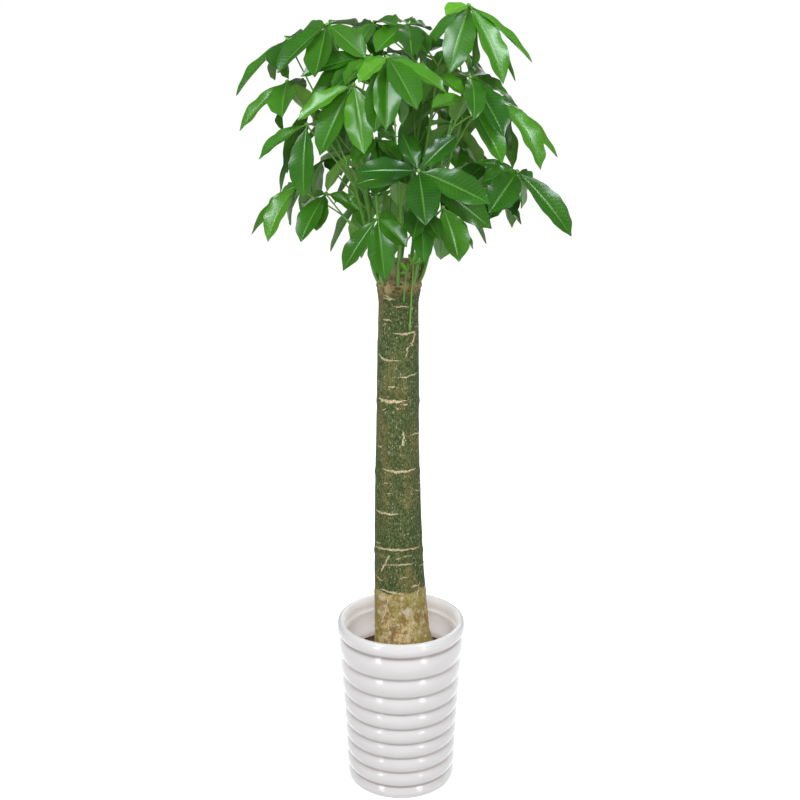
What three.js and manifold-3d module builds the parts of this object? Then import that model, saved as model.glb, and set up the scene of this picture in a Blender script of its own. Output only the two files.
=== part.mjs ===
// A money tree, Pachira aquatica, 1.77 m tall: one bare trunk in a ribbed, glazed pot, with leafy
// shoots that rise from round its cut top. Millimetres, +Z up, the viewer of the photograph at -Y.
// The origin is the middle of the pot's foot.
import * as THREE from 'three';
import { mergeVertices } from 'three/addons/utils/BufferGeometryUtils.js';
import Module from 'manifold-3d';

const wasm = await Module();
wasm.setup();

const UP = new THREE.Vector3(0, 0, 1);
const blend = THREE.MathUtils.lerp;
const radians = THREE.MathUtils.degToRad;
const counted = (count) => Array.from({ length: count }, (_, index) => index);
const vec = (x, y, z) => new THREE.Vector3(x, y, z);
const bearingVector = (degrees) => vec(Math.cos(radians(degrees)), Math.sin(radians(degrees)), 0);

// ---------------------------------------------------------------- driving dimensions
const FIT = 0.35; // clearance between two pieces that touch on the real plant
const LEAF_GAP = 0.9; // least distance between leaves of different stalks
const SIBLING_GAP = 0.3; // least distance between the leaflets of one stalk, outside their joint

const POT = {
  sides: 24,
  height: 403, // top of the rim
  rimRadius: 150,
  beadWidth: 20, // the rim is rolled to a bead
  beadHeight: 32,
  footRadius: 125,
  footRound: 3,
  footGroove: 119.5, // radius of the grooves, carried down to the foot and up to the rim
  rimGroove: 142,
  flare: 1.5, // the sides open more and more on the way up
  grooves: 9,
  lowestGroove: 30,
  ribPitch: 37.6,
  ribGrowth: 0.0011, // the ribs grow taller on the way up, by the fifth power of their number
  ribBulge: 8.5,
  wall: 9,
  floor: 14,
  innerRibs: 240, // the inside is ribbed down to here
  drains: 3,
  drainRadius: 7,
  drainCircle: 62,
  drainBearing: 30,
  drainSides: 10,
};

const SOIL = {
  sides: 24,
  top: 301,
  mound: 5, // how much higher it stands at the trunk
  clods: 2.2, // unevenness
  rows: [[112, 0.1], [94, 0.5], [70, 1]], // radius, and share of the mound
};

const TRUNK = {
  sides: 16,
  lobes: 0.014, // how far the bark is from round, as a share of its radius
  callus: vec(-4.5, 0, 1191), // the swelling round the top, from which the shoots grow
  callusRadius: 47.5,
  // height of a section, how far its middle stands to the right of the pot's axis, and its radius
  sections: [
    [155, 3, 40], [169, 3, 46], [203, 3, 62], [253, 4, 71], [302, 5, 74.5], [325, 5, 71.5], [352, 5, 68],
    [379, 2, 63.5], [406, 0.5, 62.5], [452, -1.5, 60], [473, -2.5, 60.5], [485, -2.5, 58.5], [531, -4, 57],
    [563, -4.5, 55.5], [573, -4.5, 57.5], [583, -4.5, 55.5], [631, -5.5, 54], [690, -6, 52.5],
    [755, -6.5, 50.5], [765, -6.5, 52], [775, -6.5, 50], [845, -7, 48.3], [917, -6.5, 47], [931, -6.5, 48.5],
    [943, -6.5, 47], [1012, -6.5, 46.2], [1084, -6, 45], [1153, -5.5, 43.5],
    [1175, -5, 46.5], [1193, -4.5, 47.5], [1206, -4.5, 45], [1231, -3.5, 44.5], [1239, -3.5, 43],
    [1243, -3.5, 39],
  ],
};

const STEM = {
  sides: 6,
  baseRadius: 5.6,
  tipRadius: 3.2,
  sunk: 12, // depth of its end in the bark
  stands: 5, // how far out from the bark it turns upwards
  rises: 24, // and how far above its root
  stations: [0, 0.22, 0.34, 0.5, 0.66, 0.83, 1],
};
const STALK = {
  sides: 4,
  radius: 2.2,
  knobRadius: 6, // the joint that carries the leaflets
  knobLength: 12,
  leave: 0.35, // how long its line keeps its first and last heading, as a share of its length
  arrive: 0.3,
};
const BLADE = {
  ribThickness: 2.4,
  rootWidth: 2.2,
  sunk: 3.4, // how far from the middle of the knob a leaflet starts
  stations: [[0.3, 0.7], [0.58, 1], [0.83, 0.66]], // share of the length, and of the full width there
  fold: 0.27, // how far the two halves tip up at the rib
  slimness: 0.36, // full width over length
  widest: 66,
  narrowest: 40,
  longest: 215,
  shortest: 50,
  hangs: 0.98, // a leaflet this nearly square to its leaf faces away from the trunk
};
// What a leaflet tries until it hangs clear: how much of its length it keeps, how far its tip slides
// along the line of sight, so that it shows in the same place, and the height of its bow over its length.
const LENGTHS = [1, 0.86, 0.72];
const SLIDES = [0, 22, -22, 45, -45, 70, -70, 95, -95];
const BOWS = [0.07, 0, 0.16];
// What a stalk tries: how far it bends aside, and upwards.
const BENDS = [0, 18, -18, 36, -36, 60, -60];
const LIFTS = [0, 16, -16, 34];

// ---------------------------------------------------------------- places in the photograph
// The photograph is 800 pixels square. A place in the crown is written as its column and row there,
// and as its distance in millimetres in front of the trunk's axis, which only the hand can judge.
const VIEW = { middle: 400, focal: 1300, tilt: radians(16.2), eye: vec(-2, -2771, 1736) };

function seen([column, row, near]) {
  const across = (column - VIEW.middle) / VIEW.focal;
  const rise = (VIEW.middle - row) / VIEW.focal;
  const cos = Math.cos(VIEW.tilt);
  const sin = Math.sin(VIEW.tilt);
  const depth = (-VIEW.eye.y - near) / (cos + rise * sin);
  return vec(VIEW.eye.x + depth * across, -near, VIEW.eye.z + depth * (rise * cos - sin));
}

// Each shoot: the bearing at which it leaves the trunk, in degrees from +X, and the places it rises through.
const SHOOTS = [
  { name: 'left_low', bearing: 190, path: [[369, 245, 26], [360, 205, 30], [346, 160, 24]] },
  { name: 'left_high', bearing: 161, path: [[371, 225, -22], [360, 150, -6], [350, 78, 10]] },
  { name: 'front_left', bearing: 222, path: [[381, 240, 60], [375, 185, 84], [371, 120, 100]] },
  { name: 'front_middle', bearing: 268, path: [[400, 240, 68], [399, 180, 94], [394, 108, 114]] },
  { name: 'front_right', bearing: 311, path: [[419, 245, 62], [426, 195, 92], [433, 150, 104]] },
  { name: 'right_low', bearing: 350, path: [[430, 247, 4], [447, 212, 10], [468, 196, 22]] },
  { name: 'right_high', bearing: 16, path: [[427, 235, -18], [440, 170, 4], [452, 118, 34]] },
  { name: 'top_right', bearing: 62, path: [[417, 210, -52], [429, 130, -40], [440, 60, -8]] },
];

// The four shoots that the photograph hides: the bearing at the trunk, then the bearing, reach and
// height of the tip.
const BACK_SHOOTS = [
  { name: 'back_right', bearing: 39, heading: 24, reach: 150, top: 1560 },
  { name: 'back_middle_right', bearing: 87, heading: 66, reach: 165, top: 1650 },
  { name: 'back_middle_left', bearing: 112, heading: 112, reach: 160, top: 1640 },
  { name: 'back_left', bearing: 137, heading: 150, reach: 150, top: 1570 },
];

// Each leaf: its shoot and the share of the shoot at which its stalk leaves, the joint of its leaflets,
// the way it faces, and its leaflets' tips: column, row, and how far nearer than the joint. A fourth
// number is a leaflet's full width, where the photograph shows it.
const LEAVES = [
  {
    shoot: 'left_high', share: 0.93, joint: [327, 24, 20], face: [-0.3, -0.5, 0.8],
    tips: [
      [277, 73, 60, 62], [366, 59, 90, 54], [315, 78, 112, 60], [357, 26, -110], [297, 38, -100],
      [336, 60, -120],
    ],
  },
  {
    shoot: 'left_high', share: 0.8, joint: [371, 55, 90], face: [-0.1, -0.6, 0.8],
    tips: [[300, 76, 24], [331, 91, 62], [345, 85, 92], [309, 104, -10], [392, 92, 60]],
  },
  {
    shoot: 'left_low', share: 0.98, joint: [287, 39, -25], face: [-0.4, -0.35, 0.85],
    tips: [[235.5, 96, 20, 44], [279, 70, 112, 60], [274, 80, -90], [304, 41, -100], [288, 79, -66]],
  },
  {
    shoot: 'left_low', share: 0.9, joint: [287, 81, 12], face: [-0.35, -0.5, 0.8],
    tips: [[240, 131.5, 10, 46], [282, 117, 120, 64], [282, 130, -70, 54], [314, 118, -88], [304, 92, -110]],
  },
  {
    shoot: 'left_low', share: 0.8, joint: [307, 124, 110], face: [-0.3, -0.5, 0.8],
    tips: [[258, 159, -20], [303.5, 197.5, 42, 58], [279, 193, -40, 28], [312, 195, -60], [322, 129, -110]],
  },
  {
    shoot: 'front_left', share: 0.97, joint: [353.6, 84, 176], face: [-0.15, -0.55, 0.8],
    tips: [[298, 121, 0], [320, 156, 20, 62], [364.5, 154.5, 60, 56], [376, 112, -70], [338, 76, -100]],
  },
  {
    shoot: 'front_middle', share: 0.97, joint: [387.5, 57, 185], face: [0.05, -0.5, 0.85],
    tips: [
      [353.6, 71.5, -30, 34], [358, 83, 50, 36], [374, 133, 50], [386, 130, 70], [417, 110, 100, 60],
      [447, 92, 40, 40], [417, 66, -90, 34], [403, 126, -40, 40],
    ],
  },
  {
    shoot: 'top_right', share: 0.9, joint: [374, 22, -60], face: [-0.1, -0.5, 0.85],
    tips: [[346, 35, -90], [357, 51, 100], [397, 25, 110], [377, 60, 40], [388, 48, -90]],
  },
  {
    shoot: 'top_right', share: 0.97, joint: [408, 23.5, -20], face: [0.05, -0.5, 0.85],
    tips: [
      [375.5, 52, 92, 56], [412, 58, 130], [431, 30, -60], [428, 54, 100], [400, 22, -110],
      [421, 62, -80],
    ],
  },
  {
    shoot: 'top_right', share: 0.99, joint: [469, 4.5, 42], face: [0.2, -0.4, 0.85],
    tips: [
      [445, 14.5, 30], [425.5, 54.5, -30], [450, 73, 72, 62], [504, 84, 42, 66], [532, 63, -20, 36],
      [472, 74, -70, 50], [515, 82, -50, 40],
    ],
  },
  {
    shoot: 'right_high', share: 0.99, joint: [470.5, 77, 92], face: [0.3, -0.65, 0.7],
    tips: [[450, 76, -90], [486, 73, -90], [504, 137, 80, 64], [508, 95, -60], [474, 120, 100]],
  },
  {
    shoot: 'right_high', share: 0.93, joint: [499, 100, 22], face: [0.45, -0.5, 0.75],
    tips: [[557.5, 158, -10, 40], [541, 170, 44, 66], [508.5, 145, -30, 38], [520, 112, -110]],
  },
  {
    shoot: 'right_high', share: 0.85, joint: [466, 97.5, 112], face: [0.1, -0.55, 0.8],
    tips: [[431.5, 107.8, 60], [503, 164, 30, 56], [437, 75, -80], [455, 122, -100]],
  },
  {
    shoot: 'right_high', share: 0.62, joint: [452, 122, -60], face: [0.2, 0.2, 0.9],
    tips: [[480.7, 170, -60, 48], [463, 148, -90], [430, 150, -40], [425, 128, 30]],
  },
  {
    shoot: 'front_right', share: 0.97, joint: [418.7, 171, 232], face: [0.05, -0.85, 0.5],
    tips: [
      [355.7, 172, 50], [402, 133.5, -60], [456.5, 135.5, -55], [490, 203.6, 50, 62], [491.5, 229, 0, 60],
      [426, 225.5, 110, 66], [354, 184, -30],
    ],
  },
  {
    shoot: 'right_low', share: 0.97, joint: [517.5, 171, 60], face: [0.3, -0.75, 0.6],
    tips: [
      [489, 213, 92, 66], [572, 236.5, 20, 58], [474, 162, -50, 24], [536, 190, -90], [521.5, 209, -70, 40],
      [481, 182, -20, 44],
    ],
  },
  {
    shoot: 'right_low', share: 0.88, joint: [494, 197, 6], face: [0.3, -0.1, 0.95],
    tips: [[521.5, 224.5, 30, 36], [490, 219, 20, 40], [474, 204, -50], [508, 190, -90]],
  },
  {
    shoot: 'front_left', share: 0.5, joint: [377.5, 218, 112], face: [-0.1, -0.6, 0.75],
    tips: [[343, 271, 20, 46], [385, 280, 50, 56], [407, 247, 60, 44], [398, 222, -50], [366, 240, -60, 36]],
  },
  {
    shoot: 'left_low', share: 0.42, joint: [298, 184, 24], face: [-0.4, -0.6, 0.7],
    tips: [[251, 234.5, -40, 32], [264.5, 226, 10, 46], [268, 242, 54, 52], [290, 226, -60], [279, 203, -90]],
  },
  {
    shoot: 'left_low', share: 0.3, joint: [326, 193, 20], face: [-0.2, -0.5, 0.8],
    tips: [[300.3, 242, 70, 54], [316.5, 231, -20, 54], [361, 212, -10, 44], [304, 206, -80]],
  },
  {
    shoot: 'left_high', share: 0.5, joint: [357, 150, -34], face: [-0.3, 0.3, 0.9],
    tips: [[327, 192, -50], [320, 160, -90], [371, 190, -80]],
  },
  {
    shoot: 'right_low', share: 0.55, joint: [443, 207, 130], face: [0.2, -0.45, 0.85],
    tips: [[459, 262, 60, 64], [441, 260, -20, 56], [467.5, 245, 10, 40], [473, 249.5, -50, 40]],
  },
  {
    shoot: 'front_right', share: 0.55, joint: [421, 209, 160], face: [0, -0.6, 0.8],
    tips: [[424, 263, 42, 44], [413, 239, 80], [440, 240, 70], [404, 226, -30]],
  },
  {
    shoot: 'front_middle', share: 0.62, joint: [396, 180, 90], face: [0, -0.3, 0.9],
    tips: [[400, 208, -70], [372, 196, -10], [415, 204, -60]],
  },
  {
    shoot: 'front_left', share: 0.85, joint: [376.6, 138.5, 124], face: [0.1, -0.5, 0.85],
    tips: [[397, 137, -60], [401, 163, 60], [384, 176, 70], [352, 163, 60], [362, 132, -90]],
  },
];

// The hidden shoots' leaves stand in rows round the back: height and reach of their joints, their
// number, and the first and last bearing.
const BACK_ROWS = [
  { height: 1378, reach: 170, count: 3, from: 62, to: 120 },
  { height: 1458, reach: 225, count: 5, from: 30, to: 140 },
  { height: 1573, reach: 215, count: 5, from: 30, to: 146 },
  { height: 1678, reach: 145, count: 4, from: 32, to: 148 },
];
const BACK_LEAF = {
  seed: 7,
  leaflets: 5,
  outerLength: 172, // of the leaflet that points away from the trunk
  innerLength: 128,
  outward: 0.5, // lean of the leaf, away from the trunk
  droop: 42, // degrees that its leaflets hang below its plane
  stalkDrop: 120, // how far below its joint the stalk leaves the shoot
  wobble: 9, // random degrees
  scatter: 16, // random millimetres
};

// Thin young sprouts on the front of the trunk: their path, and the tip of their one small leaf.
const SPROUTS = [
  { name: 'left', path: [[403.5, 305, 30], [404, 297, 50], [406.6, 271, 57]], leaf: [399, 262, 66] },
  { name: 'middle', path: [[409, 334, 28], [410, 322, 50], [413.5, 262, 64]], leaf: [420, 248, 70] },
];
const SPROUT = { sides: 4, baseRadius: 2.3, tipRadius: 1.4, stations: [0, 0.2, 0.45, 0.7, 1], leafWidth: 12 };

// ---------------------------------------------------------------- colours
const finish = (color, roughness) => new THREE.MeshStandardMaterial({ color, roughness, metalness: 0 });
const GLAZE = finish(0xf2f1ee, 0.12);
const EARTH = finish(0x2c221b, 0.95);
const BARK = finish(0x74705a, 0.85);
const LEAF = finish(0x2f7d2c, 0.35);
const YOUNG = finish(0x6fae3a, 0.45);

// ---------------------------------------------------------------- solids
function solid(positions, triangles) {
  return new wasm.Manifold(new wasm.Mesh({
    numProp: 3,
    vertProperties: Float32Array.from(positions),
    triVerts: Uint32Array.from(triangles.flat()),
  }));
}

// A closed skin over rings of points, each anticlockwise about the way ahead. The last ring may be one
// point. Quads are split in turn one way and the other, so the two faces of a thin blade are split alike.
function loft(rings) {
  const sides = rings[0].length;
  const first = (row) => row * sides;
  const triangles = [];
  rings.slice(1).forEach((ring, row) => {
    counted(sides).forEach((side) => {
      const [a, b] = [first(row) + side, first(row) + ((side + 1) % sides)];
      const [d, c] = [a + sides, b + sides];
      if (ring.length === 1) triangles.push([a, b, first(row + 1)]);
      else if (side % 2 === 0) triangles.push([a, b, c], [a, c, d]);
      else triangles.push([a, b, d], [b, c, d]);
    });
  });
  const last = first(rings.length - 1);
  counted(sides - 2).forEach((side) => {
    triangles.push([0, side + 2, side + 1]);
    if (rings[rings.length - 1].length > 1) triangles.push([last, last + side + 1, last + side + 2]);
  });
  return solid(rings.flat().flatMap((point) => point.toArray()), triangles);
}

// A solid of revolution about the pot's axis. Its profile of [radius, height] starts and ends on the axis.
function turned(profile, sides) {
  const points = profile.map(([radius, height]) => new THREE.Vector2(radius, height));
  const lathe = new THREE.LatheGeometry(points, sides).rotateX(Math.PI / 2);
  lathe.deleteAttribute('normal');
  lathe.deleteAttribute('uv');
  const merged = mergeVertices(lathe, 1e-3);
  const corners = Array.from(merged.index.array);
  const triangles = counted(corners.length / 3).map((i) => corners.slice(3 * i, 3 * i + 3));
  return solid(merged.attributes.position.array, triangles.filter((corner) => new Set(corner).size === 3));
}

// The direction nearest to `wanted` that is square to the way ahead.
const squared = (wanted, ahead) => wanted.clone().addScaledVector(ahead, -wanted.dot(ahead)).normalize();

// A round section's points about a centre, starting on the side `across` and square to the way ahead.
function circle(centre, ahead, across, radius, sides) {
  const over = ahead.clone().cross(across);
  return counted(sides).map((k) => {
    const turn = (2 * Math.PI * k) / sides;
    const out = across.clone().multiplyScalar(Math.cos(turn)).addScaledVector(over, Math.sin(turn));
    return out.multiplyScalar(radius).add(centre);
  });
}

// Round sections along a curve, none twisted against the one before.
function sectionsAlong(curve, stations, radiusAt, sides) {
  const start = curve.getTangent(stations[0]);
  const across = squared(Math.abs(start.z) > 0.9 ? vec(1, 0, 0) : UP, start);
  return stations.map((at) => {
    const ahead = curve.getTangent(at);
    across.copy(squared(across, ahead));
    return circle(curve.getPoint(at), ahead, across, radiusAt(at), sides);
  });
}

// A rod along a curve, with a radius at each of its stations.
const rod = (curve, stations, radiusAt, sides) => loft(sectionsAlong(curve, stations, radiusAt, sides));

const joined = (solids) => solids.reduce((whole, piece) => whole.add(piece));

function namedMesh(name, body, material) {
  const { vertProperties, triVerts } = body.getMesh();
  const geometry = new THREE.BufferGeometry();
  geometry.setAttribute('position', new THREE.BufferAttribute(vertProperties, 3));
  geometry.setIndex(new THREE.BufferAttribute(triVerts, 1));
  geometry.computeVertexNormals();
  const mesh = new THREE.Mesh(geometry, material);
  mesh.name = name;
  return mesh;
}

// ---------------------------------------------------------------- pot
// The ribbed side, from the first groove above `lowest` up to the rim's bead, as [radius, height].
function ribbedSide(inset, lowest) {
  const every = counted(POT.grooves).map((i) => POT.lowestGroove + POT.ribPitch * i + POT.ribGrowth * i ** 5);
  const grooves = every.filter((height) => height >= lowest);
  const top = grooves.at(-1);
  const ribs = grooves.slice(0, -1).flatMap((foot, i) => [0, 0.3, 0.7].map((share) => {
    const height = blend(foot, grooves[i + 1], share);
    return [grooveRadius(height) + POT.ribBulge * Math.sin(Math.PI * share) ** 0.6 - inset, height];
  }));
  return [...ribs, [grooveRadius(top) - inset, top]];
}

const grooveRadius = (height) => blend(POT.footGroove, POT.rimGroove, (height / POT.height) ** POT.flare);

function potSolid() {
  const bead = { radius: POT.rimRadius - POT.beadWidth / 2, height: POT.height - POT.beadHeight / 2 };
  const beadArc = [-45, -5, 35, 75, 115, 155, 195, 235].map((degrees) => [
    bead.radius + (POT.beadWidth / 2) * Math.cos(radians(degrees)),
    bead.height + (POT.beadHeight / 2) * Math.sin(radians(degrees)),
  ]);
  const innerFoot = POT.footGroove - POT.wall;
  const body = turned([
    [0, 0],
    [POT.footRadius - POT.footRound, 0],
    [POT.footRadius, POT.footRound],
    [POT.footRadius + POT.footRound / 2, POT.lowestGroove / 2],
    ...ribbedSide(0, 0),
    ...beadArc,
    ...ribbedSide(POT.wall, POT.innerRibs).reverse(),
    [innerFoot, POT.floor + POT.footRound],
    [innerFoot - POT.footRound, POT.floor],
    [0, POT.floor],
  ], POT.sides);
  return counted(POT.drains).reduce((pot, index) => {
    const bearing = POT.drainBearing + (360 / POT.drains) * index;
    const middle = bearingVector(bearing).multiplyScalar(POT.drainCircle);
    const line = new THREE.LineCurve3(middle.clone().setZ(-1), middle.clone().setZ(POT.floor + 1));
    return pot.subtract(rod(line, [0, 1], () => POT.drainRadius, POT.drainSides));
  }, body);
}

// ---------------------------------------------------------------- trunk and soil
function trunkSolid(grown = 0) {
  return loft(TRUNK.sections.map(([height, aside, radius], row) => counted(TRUNK.sides).map((k) => {
    const turn = (2 * Math.PI * k) / TRUNK.sides;
    const uneven = Math.sin(3 * turn + height / 170) + 0.6 * Math.sin(5 * turn - height / 90);
    const reach = radius * (1 + TRUNK.lobes * uneven) + grown;
    return vec(aside + reach * Math.cos(turn), reach * Math.sin(turn), row === 0 ? height - grown : height);
  })));
}

// The radius of a profile of [radius, height] points at a height.
function radiusAtHeight(profile, height) {
  const above = profile.findIndex((point) => point[1] > height);
  const [[low, foot], [high, head]] = profile.slice(above - 1, above + 1);
  return blend(low, high, (height - foot) / (head - foot));
}

// The soil fills the pot, `FIT` short of its wall. Its surface is uneven, and stands higher at the trunk.
function soilSolid() {
  const foot = [POT.footGroove - POT.wall - FIT, POT.floor + POT.footRound + FIT];
  const wall = [foot, ...ribbedSide(POT.wall + FIT, POT.innerRibs)];
  const side = [
    [foot[0] - POT.footRound - FIT, POT.floor + FIT],
    ...wall.filter(([, height]) => height < SOIL.top),
    [radiusAtHeight(wall, SOIL.top), SOIL.top],
  ];
  const top = SOIL.rows.map(([radius, share]) => [radius, SOIL.top + SOIL.mound * share]);
  const clod = (turn, radius) => (
    SOIL.clods * Math.sin(4 * turn + radius / 9) * Math.sin(radius / 13 + 2 * turn));
  const rings = [...side, ...top].map(([radius, height], row) => counted(SOIL.sides).map((k) => {
    const turn = (2 * Math.PI * k) / SOIL.sides;
    const uneven = row < side.length ? 0 : clod(turn, radius);
    return vec(radius * Math.cos(turn), radius * Math.sin(turn), height + uneven);
  }));
  return loft(rings).subtract(trunkSolid(FIT));
}

// ---------------------------------------------------------------- shoots
function shootCurve(bearing, points) {
  const outward = bearingVector(bearing);
  const bark = TRUNK.callus.clone().addScaledVector(outward, TRUNK.callusRadius);
  const end = bark.clone().addScaledVector(outward, -STEM.sunk).addScaledVector(UP, -STEM.sunk / 2);
  const turn = bark.clone().addScaledVector(outward, STEM.stands).addScaledVector(UP, STEM.rises);
  return new THREE.CatmullRomCurve3([end, turn, ...points], false, 'centripetal');
}

function backCurve({ bearing, heading, reach, top }) {
  const points = [0.3, 0.64, 1].map((share) => {
    const way = bearingVector(blend(bearing, heading, share)).multiplyScalar(blend(62, reach, share ** 1.3));
    return way.setZ(blend(TRUNK.callus.z, top, share));
  });
  return shootCurve(bearing, points);
}

const stemRadius = (at) => blend(STEM.baseRadius, STEM.tipRadius, at);

// The hole in the bark for a stem's end: the stem's own sections out to where it stands free, grown by `FIT`.
function socket(curve, stations, radiusAt, sides) {
  const wide = (at) => (radiusAt(at) + FIT) / Math.cos(Math.PI / sides);
  const rings = sectionsAlong(curve, stations.slice(0, 3), wide, sides);
  const back = curve.getTangent(0).multiplyScalar(-FIT);
  return loft([rings[0].map((point) => point.add(back)), ...rings.slice(1)]);
}

// ---------------------------------------------------------------- leaves
// A stalk from its shoot to the joint of its leaflets, which it reaches from behind the leaf.
function stalk(from, joint, face, sideways, upwards) {
  const way = joint.clone().sub(from.point);
  const length = way.length();
  const aside = way.clone().cross(UP).normalize().multiplyScalar(sideways).addScaledVector(UP, upwards);
  way.normalize();
  const leave = from.ahead.clone().multiplyScalar(0.35).addScaledVector(way, 0.65).normalize();
  const arrive = face.clone().multiplyScalar(0.6).addScaledVector(way, 0.5).normalize();
  const curve = new THREE.CubicBezierCurve3(
    from.point,
    from.point.clone().addScaledVector(leave, STALK.leave * length).add(aside),
    joint.clone().addScaledVector(arrive, -STALK.arrive * length).add(aside),
    joint,
  );
  const knob = 1 - STALK.knobLength / length;
  const radiusAt = (at) => (at > knob ? STALK.knobRadius : STALK.radius);
  const rings = sectionsAlong(curve, [0, 0.45 * knob, knob, 1], radiusAt, STALK.sides);
  const tip = joint.clone().addScaledVector(arrive, STALK.knobRadius * 0.7);
  return { whole: loft([...rings, [tip]]), free: loft(rings.slice(0, 3)) };
}

// A leaflet is a thin blade with a raised fold along its rib. It bows upwards, towards its leaf's face.
function leaflet(joint, tip, face, bow, width) {
  const ahead = tip.clone().sub(joint).normalize();
  const root = joint.clone().addScaledVector(ahead, BLADE.sunk);
  const length = root.distanceTo(tip);
  const outward = vec(joint.x, joint.y, 0);
  const lift = squared(Math.abs(face.dot(ahead)) < BLADE.hangs ? face : outward, ahead);
  const crest = root.clone().lerp(tip, 0.5).addScaledVector(lift, bow * length);
  const curve = new THREE.QuadraticBezierCurve3(root, crest, tip);
  const rings = [[0, BLADE.rootWidth / width], ...BLADE.stations].map(([at, share]) => {
    const heading = curve.getTangent(at);
    const over = squared(lift, heading);
    const across = over.clone().cross(heading);
    const half = (width * share) / 2;
    const point = (out, up) => curve.getPoint(at).addScaledVector(across, out).addScaledVector(over, up);
    const edge = at === 0 ? 0 : half * BLADE.fold;
    const rib = BLADE.ribThickness / 2;
    return [point(half, edge), point(0, rib), point(-half, edge), point(0, -rib)];
  });
  return { whole: loft([...rings, [tip]]), free: loft([...rings.slice(1), [tip]]) };
}

// Everything placed in the crown so far, with the box round it.
const placed = [];

function piece(kind, shoot, leaf, { whole, free }) {
  const { min, max } = whole.boundingBox();
  return { kind, shoot, leaf, whole, free, min, max };
}

const boxesMeet = (a, b, gap) => [0, 1, 2].every((i) => (
  a.min[i] - gap < b.max[i] && b.min[i] - gap < a.max[i]));

// Pieces of one leafy stem are fused where they grow from each other, and clear elsewhere.
function clears(candidate, other) {
  const grown = candidate.shoot === other.shoot && candidate.kind !== 'blade' && other.kind !== 'blade';
  const together = candidate.leaf === other.leaf;
  const gap = together ? SIBLING_GAP : LEAF_GAP;
  if (grown || !boxesMeet(candidate, other, gap)) return true;
  const [a, b] = together ? [candidate.free, other.free] : [candidate.whole, other.whole];
  return a.minGap(b, 2 * gap) >= gap;
}

// The first of a list of tries that clears everything placed so far, or nothing.
function place(tries) {
  for (const make of tries) {
    const candidate = make();
    if (candidate && placed.every((other) => clears(candidate, other))) {
      placed.push(candidate);
      return candidate;
    }
  }
  return null;
}

function placeStalk(leaf) {
  const bends = LIFTS.flatMap((lift) => BENDS.map((bend) => [bend, lift]));
  bends.sort((a, b) => Math.hypot(...a) - Math.hypot(...b));
  return place(bends.map(([bend, lift]) => () => (
    piece('stalk', leaf.shoot, leaf, stalk(leaf.from, leaf.joint, leaf.face, bend, lift)))));
}

function placeLeaflet(leaf, { tip, width }) {
  const tries = LENGTHS.flatMap((keep) => SLIDES.flatMap((slide) => BOWS.map((bow) => () => {
    const shown = leaf.joint.clone().lerp(tip, keep);
    shown.addScaledVector(VIEW.eye.clone().sub(shown).normalize(), slide);
    const length = shown.distanceTo(leaf.joint);
    if (length > BLADE.longest || length < BLADE.shortest) return null;
    const full = width ?? THREE.MathUtils.clamp(BLADE.slimness * length, BLADE.narrowest, BLADE.widest);
    return piece('blade', leaf.shoot, leaf, leaflet(leaf.joint, shown, leaf.face, bow, full));
  })));
  return place(tries);
}

// A repeatable stream of random numbers from -1 to 1.
function draws(seed) {
  let state = seed;
  return () => {
    state = (Math.imul(state, 1664525) + 1013904223) >>> 0;
    return state / 2 ** 31 - 1;
  };
}

// The leaves of the hidden shoots. Each has its leaflets evenly round its joint, hanging below its plane.
function backLeaves(curves) {
  const draw = draws(BACK_LEAF.seed);
  return BACK_ROWS.flatMap((row) => counted(row.count).map((index) => {
    const bearing = blend(row.from, row.to, index / (row.count - 1)) + BACK_LEAF.wobble * draw();
    const outward = bearingVector(bearing);
    const joint = outward.clone().multiplyScalar(row.reach + BACK_LEAF.scatter * draw());
    joint.setZ(row.height + BACK_LEAF.scatter * draw());
    const face = outward.clone().multiplyScalar(BACK_LEAF.outward).add(UP).normalize();
    const level = squared(outward, face);
    const spin = BACK_LEAF.wobble * draw();
    const tips = counted(BACK_LEAF.leaflets).map((k) => {
      const turn = radians((360 / BACK_LEAF.leaflets) * k + spin + BACK_LEAF.wobble * draw() * 0.6);
      const droop = radians(BACK_LEAF.droop + BACK_LEAF.wobble * draw());
      const way = level.clone().applyAxisAngle(face, turn).multiplyScalar(Math.cos(droop));
      way.addScaledVector(face, -Math.sin(droop));
      const length = blend(BACK_LEAF.innerLength, BACK_LEAF.outerLength, (1 + Math.cos(turn)) / 2);
      return { tip: joint.clone().addScaledVector(way, length + BACK_LEAF.scatter * draw() * 0.6) };
    });
    const shoot = BACK_SHOOTS.reduce((best, other) => (
      Math.abs(other.heading - bearing) < Math.abs(best.heading - bearing) ? other : best)).name;
    const share = shareAtHeight(curves[shoot], joint.z - BACK_LEAF.stalkDrop);
    return leafOn(shoot, curves[shoot], share, joint, face, tips);
  }));
}

function shareAtHeight(curve, height) {
  const steps = 40;
  const found = counted(steps + 1).find((i) => curve.getPointAt(i / steps).z > height) ?? steps;
  return Math.min(found / steps, 0.97);
}

function leafOn(shoot, curve, share, joint, face, tips) {
  const from = { point: curve.getPointAt(share), ahead: curve.getTangentAt(share) };
  return { shoot, joint, face, tips, from };
}

function shownLeaves(curves) {
  return LEAVES.map(({ shoot, share, joint, face, tips }) => leafOn(
    shoot, curves[shoot], share, seen(joint), vec(...face).normalize(),
    tips.map(([column, row, nearer, width]) => ({ tip: seen([column, row, joint[2] + nearer]), width })),
  ));
}

// ---------------------------------------------------------------- sprouts
const sproutRadius = (at) => blend(SPROUT.baseRadius, SPROUT.tipRadius, at);

function sproutSolid(curve, leafTip) {
  const end = curve.getPoint(1);
  const stem = rod(curve, SPROUT.stations, sproutRadius, SPROUT.sides);
  const back = leafTip.clone().sub(end).setLength(-BLADE.sunk);
  const root = end.clone().addScaledVector(curve.getTangent(1), -SPROUT.baseRadius).add(back);
  return stem.add(leaflet(root, leafTip, vec(0, -0.7, 0.7), BOWS[0], SPROUT.leafWidth).whole);
}

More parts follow.
